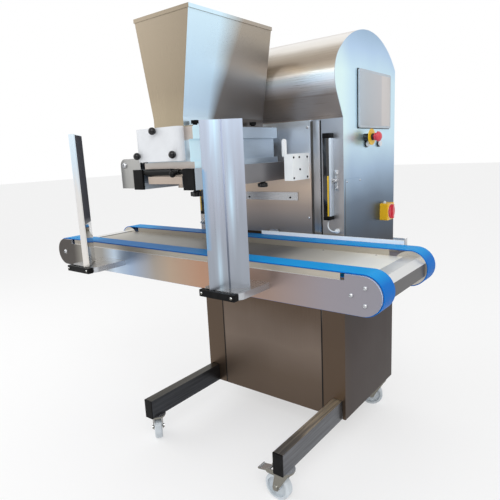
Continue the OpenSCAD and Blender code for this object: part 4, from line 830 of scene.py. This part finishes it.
class DEPOSITOR_OT_conveyor(bpy.types.Operator):
    """Belts, side plates, pan, guide and their screws"""

    bl_idname = "depositor.conveyor"
    bl_label = "Conveyor"

    def execute(self, context):
        dress("side_plate", "conveyor_side_plates")
        dress("rail", "belt_rails")
        dress("belt", "belts")
        dress("pan", "bed_pan")
        dress("nose", "end_covers")
        dress("bright", "conveyor_brackets")
        dress("roller", "drive_roller", "idler_roller")
        dress("guide_white", "tray_guide")
        soften(0.8 * MM, "belts", "tray_guide")
        soften(1.8 * MM, "conveyor_side_plates")
        low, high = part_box("conveyor_side_plates")
        radius = (high.z - low.z) / 2
        axis = high.x - radius
        z = low.z + radius
        places = [(axis + 9 * MM, low.y, z + 24 * MM), (axis - 32 * MM, low.y, z - 1 * MM),
                  (axis + 9 * MM, low.y, z - 25 * MM)]
        screws("side_plate_screws", places, FRONT, looks().screw_radius)
        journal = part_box("idler_roller")[0]
        screws("idler_bolt", [(-axis, journal.y, z)], FRONT, looks().screw_radius * 1.3,
               body="idler_roller")
        self.guide_end()
        self.pan_rivets()
        return {"FINISHED"}

    def guide_end(self):
        """Small bracket behind the right end of the tray guide."""
        low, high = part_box("tray_guide")
        bm = bmesh.new()
        end, back, plate = high.x + 2 * MM, high.y + 22 * MM, high.z - 3 * MM
        add_block(bm, (high.x - 55 * MM, high.y, high.z - 6 * MM), (end, back, plate), 0.6 * MM)
        add_block(bm, (high.x - MM, high.y, high.z - 30 * MM), (end, back, high.z + 6 * MM), 0.6 * MM)
        add_screw(bm, (high.x - 38 * MM, high.y + 11 * MM, plate), UP, 5 * MM)
        piece("guide_end_bracket", bm, "bright")

    def pan_rivets(self):
        """Flat rivets along the pan's two sides."""
        low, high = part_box("bed_pan")
        profile = mm((4, 0), (4, 0.4), (2.4, 1.1), (0, 1.3))
        bm = bmesh.new()
        for y in (low.y + 14 * MM, high.y - 14 * MM):
            for i in range(RIVETS_PER_SIDE):
                x = low.x + (high.x - low.x) * (i + 0.5) / RIVETS_PER_SIDE
                add_lathe(bm, profile, (x, y, high.z), (0, 0, 1), 16)
        piece("pan_rivets", bm, "bright")


class DEPOSITOR_OT_head(bpy.types.Operator):
    """Depositing head, its cover, die and guide blocks"""

    bl_idname = "depositor.head"
    bl_label = "Head"

    def execute(self, context):
        dress("head", "head_frame")
        dress("bars", "side_bars", "die_block")
        dress("guard", "side_guard")
        dress("white", "front_cover")
        dress("guide_white", "guide_blocks")
        dress("black", "clamp_blocks", "hopper_knob_front", "hopper_knob_rear")
        dress("lever", "clamp_lever")
        dress("knob", "cover_knob_top", "cover_knob_left", "cover_knob_right")
        dress("roller", "left_feed_roller", "right_feed_roller")
        dress("drive", "pump_drive")
        soften(1.2 * MM, "head_frame", "side_bars", "clamp_blocks", "hopper_knob_front", "hopper_knob_rear")
        soften(3.0 * MM, "front_cover")
        soften(1.0 * MM, "guide_blocks")
        self.couplings()
        self.block_screws()
        self.bar_knobs()
        self.guard_bolt()
        return {"FINISHED"}

    def couplings(self):
        """Grooved sleeve on each feed roller's shaft, between the head and the front plate."""
        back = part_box("head_frame")[1].y
        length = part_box("front_plate")[0].y - back - 4 * MM
        bore, rim, chamfer = 13 * MM, 21 * MM, MM
        groove = rim - 2 * MM
        profile = [
            (bore, 0), (rim - chamfer, 0), (rim, chamfer), (rim, length * 0.46), (groove, length * 0.48),
            (groove, length * 0.52), (rim, length * 0.54), (rim, length - chamfer), (rim - chamfer, length),
            (bore, length)]
        for side in ("left", "right"):
            body = side + "_feed_roller"
            low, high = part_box(body)
            middle = (low + high) / 2
            bm = bmesh.new()
            add_lathe(bm, profile, (middle.x, back + 2 * MM, middle.z), REAR)
            piece("coupling_" + side, bm, "black", body)

    def block_screws(self):
        """Screws in the outer face of each guide block."""
        low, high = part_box("guide_blocks")
        depth = high.y - low.y
        top = low.z + 96 * MM
        for side, name, x in ((1, "right", high.x), (-1, "left", low.x)):
            places = [(x, low.y + depth * share, top - drop * MM) for share, drop in GUIDE_SCREWS]
            screws("guide_screws_" + name, places, (side, 0, 0), 4 * MM, "black")

    def bar_knobs(self):
        """Two lobed hand knobs under the right side bar."""
        low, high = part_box("side_bars")
        x = high.x - 18 * MM
        knob = mm((0, 0), (9, 0), (10, 4), (14, 6), (15, 8), (15, 19), (13, 21), (0, 21))
        lobe = mm((0, 6), (4, 6), (6, 8), (6, 18), (4, 20), (0, 20))
        bm = bmesh.new()
        for y in (low.y + 22 * MM, low.y + 372 * MM):
            add_lathe(bm, knob, (x, y, low.z), DOWN, 32)
            for k in range(KNOB_LOBES):
                turn = math.radians(360 / KNOB_LOBES * k)
                place = (x + 14 * MM * math.cos(turn), y + 14 * MM * math.sin(turn), low.z)
                add_lathe(bm, lobe, place, DOWN, 16)
        piece("bar_knobs", bm, "knob")

    def guard_bolt(self):
        """Bolt near the guard's upper corner, which rides on the guard."""
        low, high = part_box("side_guard")
        place = (low.x + 24 * MM, low.y, high.z - 22 * MM)
        screws("guard_bolt", [place], FRONT, 10 * MM, body="side_guard")


class DEPOSITOR_OT_hopper(bpy.types.Operator):
    """Hopper sheet"""

    bl_idname = "depositor.hopper"
    bl_label = "Hopper"

    def execute(self, context):
        dress("hopper", "hopper")
        soften(0.8 * MM, "hopper")
        return {"FINISHED"}


class DEPOSITOR_OT_light_barrier(bpy.types.Operator):
    """Light curtains, mirror posts, brackets and handles"""

    bl_idname = "depositor.light_barrier"
    bl_label = "Light barrier"

    def execute(self, context):
        dress("bracket", "post_brackets")
        dress("black", "bracket_handles")
        dress("post", "mirror_posts")
        soften(2.0 * MM, "post_brackets", "bracket_handles")
        self.curtains()
        self.leads()
        self.mirrors()
        self.handle_screws()
        return {"FINISHED"}

    def curtains(self):
        """Each light curtain: aluminium profile, dark window, end caps, yellow stripe and a clamp."""
        low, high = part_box("light_curtains")
        middle = (low.x + high.x) / 2
        outer = high.x - middle - 27 * MM
        inner = outer - 25 * MM
        front, back = low.y, high.y
        bottom, top = low.z + 14 * MM, high.z - 18 * MM
        rest = low.z + 143.5 * MM
        glass, arm = front + 4 * MM, back - 3 * MM
        profile, window, caps, stripe, clamp = (bmesh.new() for _ in range(5))
        blocks = [
            (profile, (inner + 0.5 * MM, glass, bottom), (outer, back, top), 1.2),
            (profile, (outer - 0.5 * MM, front + 14 * MM, bottom),
             (outer + 0.6 * MM, front + 19 * MM, top), 0.2),
            (window, (inner, front, bottom), (outer - 0.5 * MM, glass, top), 0.8),
            (stripe, (outer - 7 * MM, front - 0.5 * MM, bottom + 2 * MM),
             (outer - MM, front, bottom + 149 * MM), 0.2),
            (clamp, (outer + 4 * MM, arm, rest - 39 * MM), (outer + 20 * MM, back, rest + 39 * MM), 0.8),
            (clamp, (outer, back - 22 * MM, rest - 9 * MM), (outer + 4 * MM, arm, rest + 9 * MM), 1.0),
            (clamp, (outer, back - 14 * MM, rest - 6 * MM), (outer + 18 * MM, arm, rest + 6 * MM), 1.5)]
        for z0, z1 in ((low.z, bottom), (top, high.z)):
            blocks.append((caps, (inner - 0.8 * MM, front - 0.8 * MM, z0), (outer + 0.8 * MM, back, z1), 2.0))
        for side in (-1, 1):
            for bm, near, far, edge in blocks:
                beside(bm, middle, side, near, far, edge * MM)
            x = middle + side * (outer + 12 * MM)
            for rise in (-26 * MM, 26 * MM):
                add_screw(clamp, (x, arm, rest + rise), FRONT, 7 * MM)
            add_screw(clamp, (x, back - 14 * MM, rest), FRONT, 6 * MM)
        piece("curtain_profiles", profile, "profile", stands_for=("light_curtains",))
        piece("curtain_windows", window, "window")
        piece("curtain_caps", caps, "black")
        piece("curtain_stripes", stripe, "yellow")
        piece("curtain_clamps", clamp, "bright")

    def leads(self):
        """Lead from each curtain's lower end, hanging in a bow back into its gland on the cabinet."""
        low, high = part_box("light_curtains")
        middle = (low.x + high.x) / 2
        across = high.x - middle - 39.5 * MM
        drop = low.z - 43 * MM
        for side, name in ((1, "right"), (-1, "left")):
            x0 = middle + side * across
            x1 = x0 + side * 27 * MM
            start = Vector((x0, (low.y + high.y) / 2, low.z))
            end = Vector((x1, high.y - 22 * MM, drop))
            bow = Vector((x0, low.y - 11 * MM, low.z - 35 * MM)), Vector((x1, end.y - 18 * MM, drop))
            route = geometry.interpolate_bezier(start, *bow, end, LEAD_STEPS)
            bm = bmesh.new()
            add_tube(bm, route, 2.5 * MM, 16)
            lead = piece("curtain_lead_" + name, bm, "lead", stands_for=("curtain_leads",))
            bm = bmesh.new()
            foot = (x1, high.y, drop)
            add_lathe(bm, mm((0, 0), (8.4, 0), (9, 0.8), (9, 12.4), (8.4, 13.2)), foot, FRONT, 10)
            add_lathe(bm, mm((8.4, 13.2), (6.3, 13.2), (6.3, 18), (5, 21), (2.6, 22)), foot, FRONT, 32)
            gland = piece("lead_gland_" + name, bm, "lead")

    def mirrors(self):
        """Glass plates on the posts, each turned to look across the head."""
        low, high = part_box("mirror_posts")
        half, thick, glass = 60 * MM, 18 * MM, 3 * MM
        y = high.y - half * math.sqrt(0.5)
        reach = (half + thick) * math.sqrt(0.5)
        corners = (-half + glass, glass, low.z + glass), (half - glass, glass + 0.6 * MM, high.z - glass)
        bm = bmesh.new()
        for x, turn in ((high.x - reach, 45), (low.x + reach, -45)):
            turned = Matrix.Translation((x, y, 0)) @ Matrix.Rotation(math.radians(turn), 4, "Z")
            add_block(bm, *corners, 0.2 * MM, turned)
        piece("mirror_plates", bm, "mirror")

    def handle_screws(self):
        """Screw in each foot of the two handles."""
        low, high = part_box("bracket_handles")
        z = (low.z + high.z) / 2
        foot, length = 11 * MM, 136 * MM
        feet = (low.x + foot, low.x + length - foot, high.x - length + foot, high.x - foot)
        screws("handle_screws", [(x, low.y, z) for x in feet], FRONT, 4.5 * MM, "zinc")


class DEPOSITOR_OT_controls(bpy.types.Operator):
    """Touch panel, emergency stop, push buttons and main switch"""

    bl_idname = "depositor.controls"
    bl_label = "Controls"

    def execute(self, context):
        dress("bezel", "touch_panel")
        dress("red", "estop_button", "switch_knob")
        dress("white", "start_button", "stop_button")
        dress("collars", "button_collars")
        dress("switch_box", "switch_box")
        soften(2.0 * MM, "touch_panel")
        soften(1.5 * MM, "switch_box", "switch_knob")
        self.screen()
        self.switch_gland()
        return {"FINISHED"}

    def screen(self):
        """Pane of the touch panel in its frame, left blank, and a dark strip behind the frame as painted
        shadow.
        """
        low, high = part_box("touch_panel")
        edge = 9 * MM
        bm = bmesh.new()
        add_block(bm, (high.x - 0.2 * MM, low.y + edge, low.z + edge),
                  (high.x + 0.5 * MM, high.y - edge, high.z - edge), 0.2 * MM)
        piece("touch_screen", bm, "screen")
        # Dark strip behind the frame, reaching further below: painted shadow of the panel.
        bm = bmesh.new()
        add_block(bm, (low.x, low.y - 1.5 * MM, low.z - 2.5 * MM),
                  (low.x + 2.5 * MM, high.y + 1.5 * MM, high.z + 1.5 * MM), 0.8 * MM)
        piece("touch_panel_shadow", bm, "black")

    def switch_gland(self):
        """Cable gland on top of the switch box."""
        low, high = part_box("switch_box")
        place = Vector((low.x + 14 * MM, low.y + 16 * MM, high.z))
        bm = bmesh.new()
        add_lathe(bm, mm((0, 0), (7, 0), (7, 4), (5, 5), (5, 9), (2, 10), (0, 10)), place, UP, 6)
        piece("switch_gland", bm, "lead")


class DEPOSITOR_OT_stage(bpy.types.Operator):
    """Floor, light and camera"""

    bl_idname = "depositor.stage"
    bl_label = "Stage"

    def execute(self, context):
        for step in (self.floor, self.world, self.lamps, self.camera):
            step(context.scene)
        context.scene.view_settings.view_transform = "Standard"
        return {"FINISHED"}

    def floor(self, scene):
        """Pale floor that keeps the shadow, and is nearly white to the camera, to metal and to glass."""
        bm = bmesh.new()
        bmesh.ops.create_grid(bm, x_segments=1, y_segments=1, size=FLOOR_HALF)
        mesh = bpy.data.meshes.new("floor")
        bm.to_mesh(mesh)
        bm.free()
        floor = bpy.data.objects.new("floor", mesh)
        scene.collection.objects.link(floor)
        finish = Finish("pale_floor")
        finish.feed(Base_Color=(0.93, 0.93, 0.93), Roughness=0.9)
        white = finish.node("Emission")
        seen, shown, through = finish.node("LightPath", out=RAYS)
        share = (seen + shown + through > 0.5) * FLOOR_GLOW
        plain = Wire(finish, finish.shader.outputs[0])
        both = finish.node("MixShader", {}, {0: share, 1: plain, 2: white})
        finish.tree.links.new(both.socket, finish.tree.nodes["Material Output"].inputs["Surface"])
        mesh.materials.append(finish.material)

    def world(self, scene):
        """Even light from all sides, which is white where the camera, metal or glass sees it."""
        world = bpy.data.worlds.new("studio")
        scene.world = world
        world.use_nodes = True
        tree = world.node_tree
        sky = tree.nodes["Background"]
        sky.inputs["Color"].default_value = (1.0, 1.0, 1.0, 1.0)
        light = tree.nodes.new("ShaderNodeLightPath")
        seen = light.outputs[RAYS[0]]
        for ray in RAYS[1:]:
            either = tree.nodes.new("ShaderNodeMath")
            either.operation = "MAXIMUM"
            tree.links.new(seen, either.inputs[0])
            tree.links.new(light.outputs[ray], either.inputs[1])
            seen = either.outputs[0]
        strength = tree.nodes.new("ShaderNodeMix")
        strength.data_type = "FLOAT"
        strength.inputs[2].default_value = SKY_LIGHT
        strength.inputs[3].default_value = 1.0
        tree.links.new(seen, strength.inputs[0])
        tree.links.new(strength.outputs[0], sky.inputs["Strength"])

    def lamps(self, scene):
        """Two broad lamps in front of the machine."""
        for name, place, size, power in LAMPS:
            lamp = bpy.data.lights.new(name, "AREA")
            lamp.size = size
            lamp.energy = power
            made = bpy.data.objects.new(name, lamp)
            scene.collection.objects.link(made)
            made.location = place
            made.rotation_mode = "QUATERNION"
            made.rotation_quaternion = (LAMP_AIM - Vector(place)).to_track_quat("-Z", "Y")

    def camera(self, scene):
        """The camera that was fitted to the photo."""
        turn, dip, roll = CAMERA_TURN, CAMERA_DIP, CAMERA_ROLL
        ahead = Vector((-math.sin(turn) * math.cos(dip), math.cos(turn) * math.cos(dip), -math.sin(dip)))
        level = Vector((math.cos(turn), math.sin(turn), 0))
        down = ahead.cross(level)
        right = math.cos(roll) * level + math.sin(roll) * down
        below = -math.sin(roll) * level + math.cos(roll) * down
        view = Matrix((right, -below, -ahead)).transposed().to_4x4()
        data = bpy.data.cameras.new("camera")
        data.lens = looks().camera_lens
        data.sensor_width = CAMERA_SENSOR
        made = bpy.data.objects.new("camera", data)
        scene.collection.objects.link(made)
        made.matrix_world = Matrix.Translation(CAMERA_PLACE) @ view
        scene.camera = made


STEPS = (DEPOSITOR_OT_cabinet, DEPOSITOR_OT_stand, DEPOSITOR_OT_conveyor, DEPOSITOR_OT_head,
         DEPOSITOR_OT_hopper, DEPOSITOR_OT_light_barrier, DEPOSITOR_OT_controls, DEPOSITOR_OT_stage)


class DEPOSITOR_PT_panel(bpy.types.Panel):
    """Sidebar list of the depositor's pieces"""

    bl_idname = "DEPOSITOR_PT_panel"
    bl_label = "Cookie depositor"
    bl_space_type = "VIEW_3D"
    bl_region_type = "UI"
    bl_category = "Depositor"

    def draw(self, context):
        for key in DepositorLooks.__annotations__:
            self.layout.prop(context.scene.depositor_looks, key)
        for step in STEPS:
            self.layout.operator(step.bl_idname)


def register():
    for made in (DepositorLooks, *STEPS, DEPOSITOR_PT_panel):
        bpy.utils.register_class(made)
    bpy.types.Scene.depositor_looks = bpy.props.PointerProperty(type=DepositorLooks)


def unregister():
    del bpy.types.Scene.depositor_looks
    for made in (DEPOSITOR_PT_panel, *reversed(STEPS), DepositorLooks):
        bpy.utils.unregister_class(made)


def main():
    register()
    build_finishes(looks())
    bpy.ops.depositor.cabinet()
    bpy.ops.depositor.stand()
    bpy.ops.depositor.conveyor()
    bpy.ops.depositor.head()
    bpy.ops.depositor.hopper()
    bpy.ops.depositor.light_barrier()
    bpy.ops.depositor.controls()
    bpy.ops.depositor.stage()


if __name__ == "__main__":
    main()
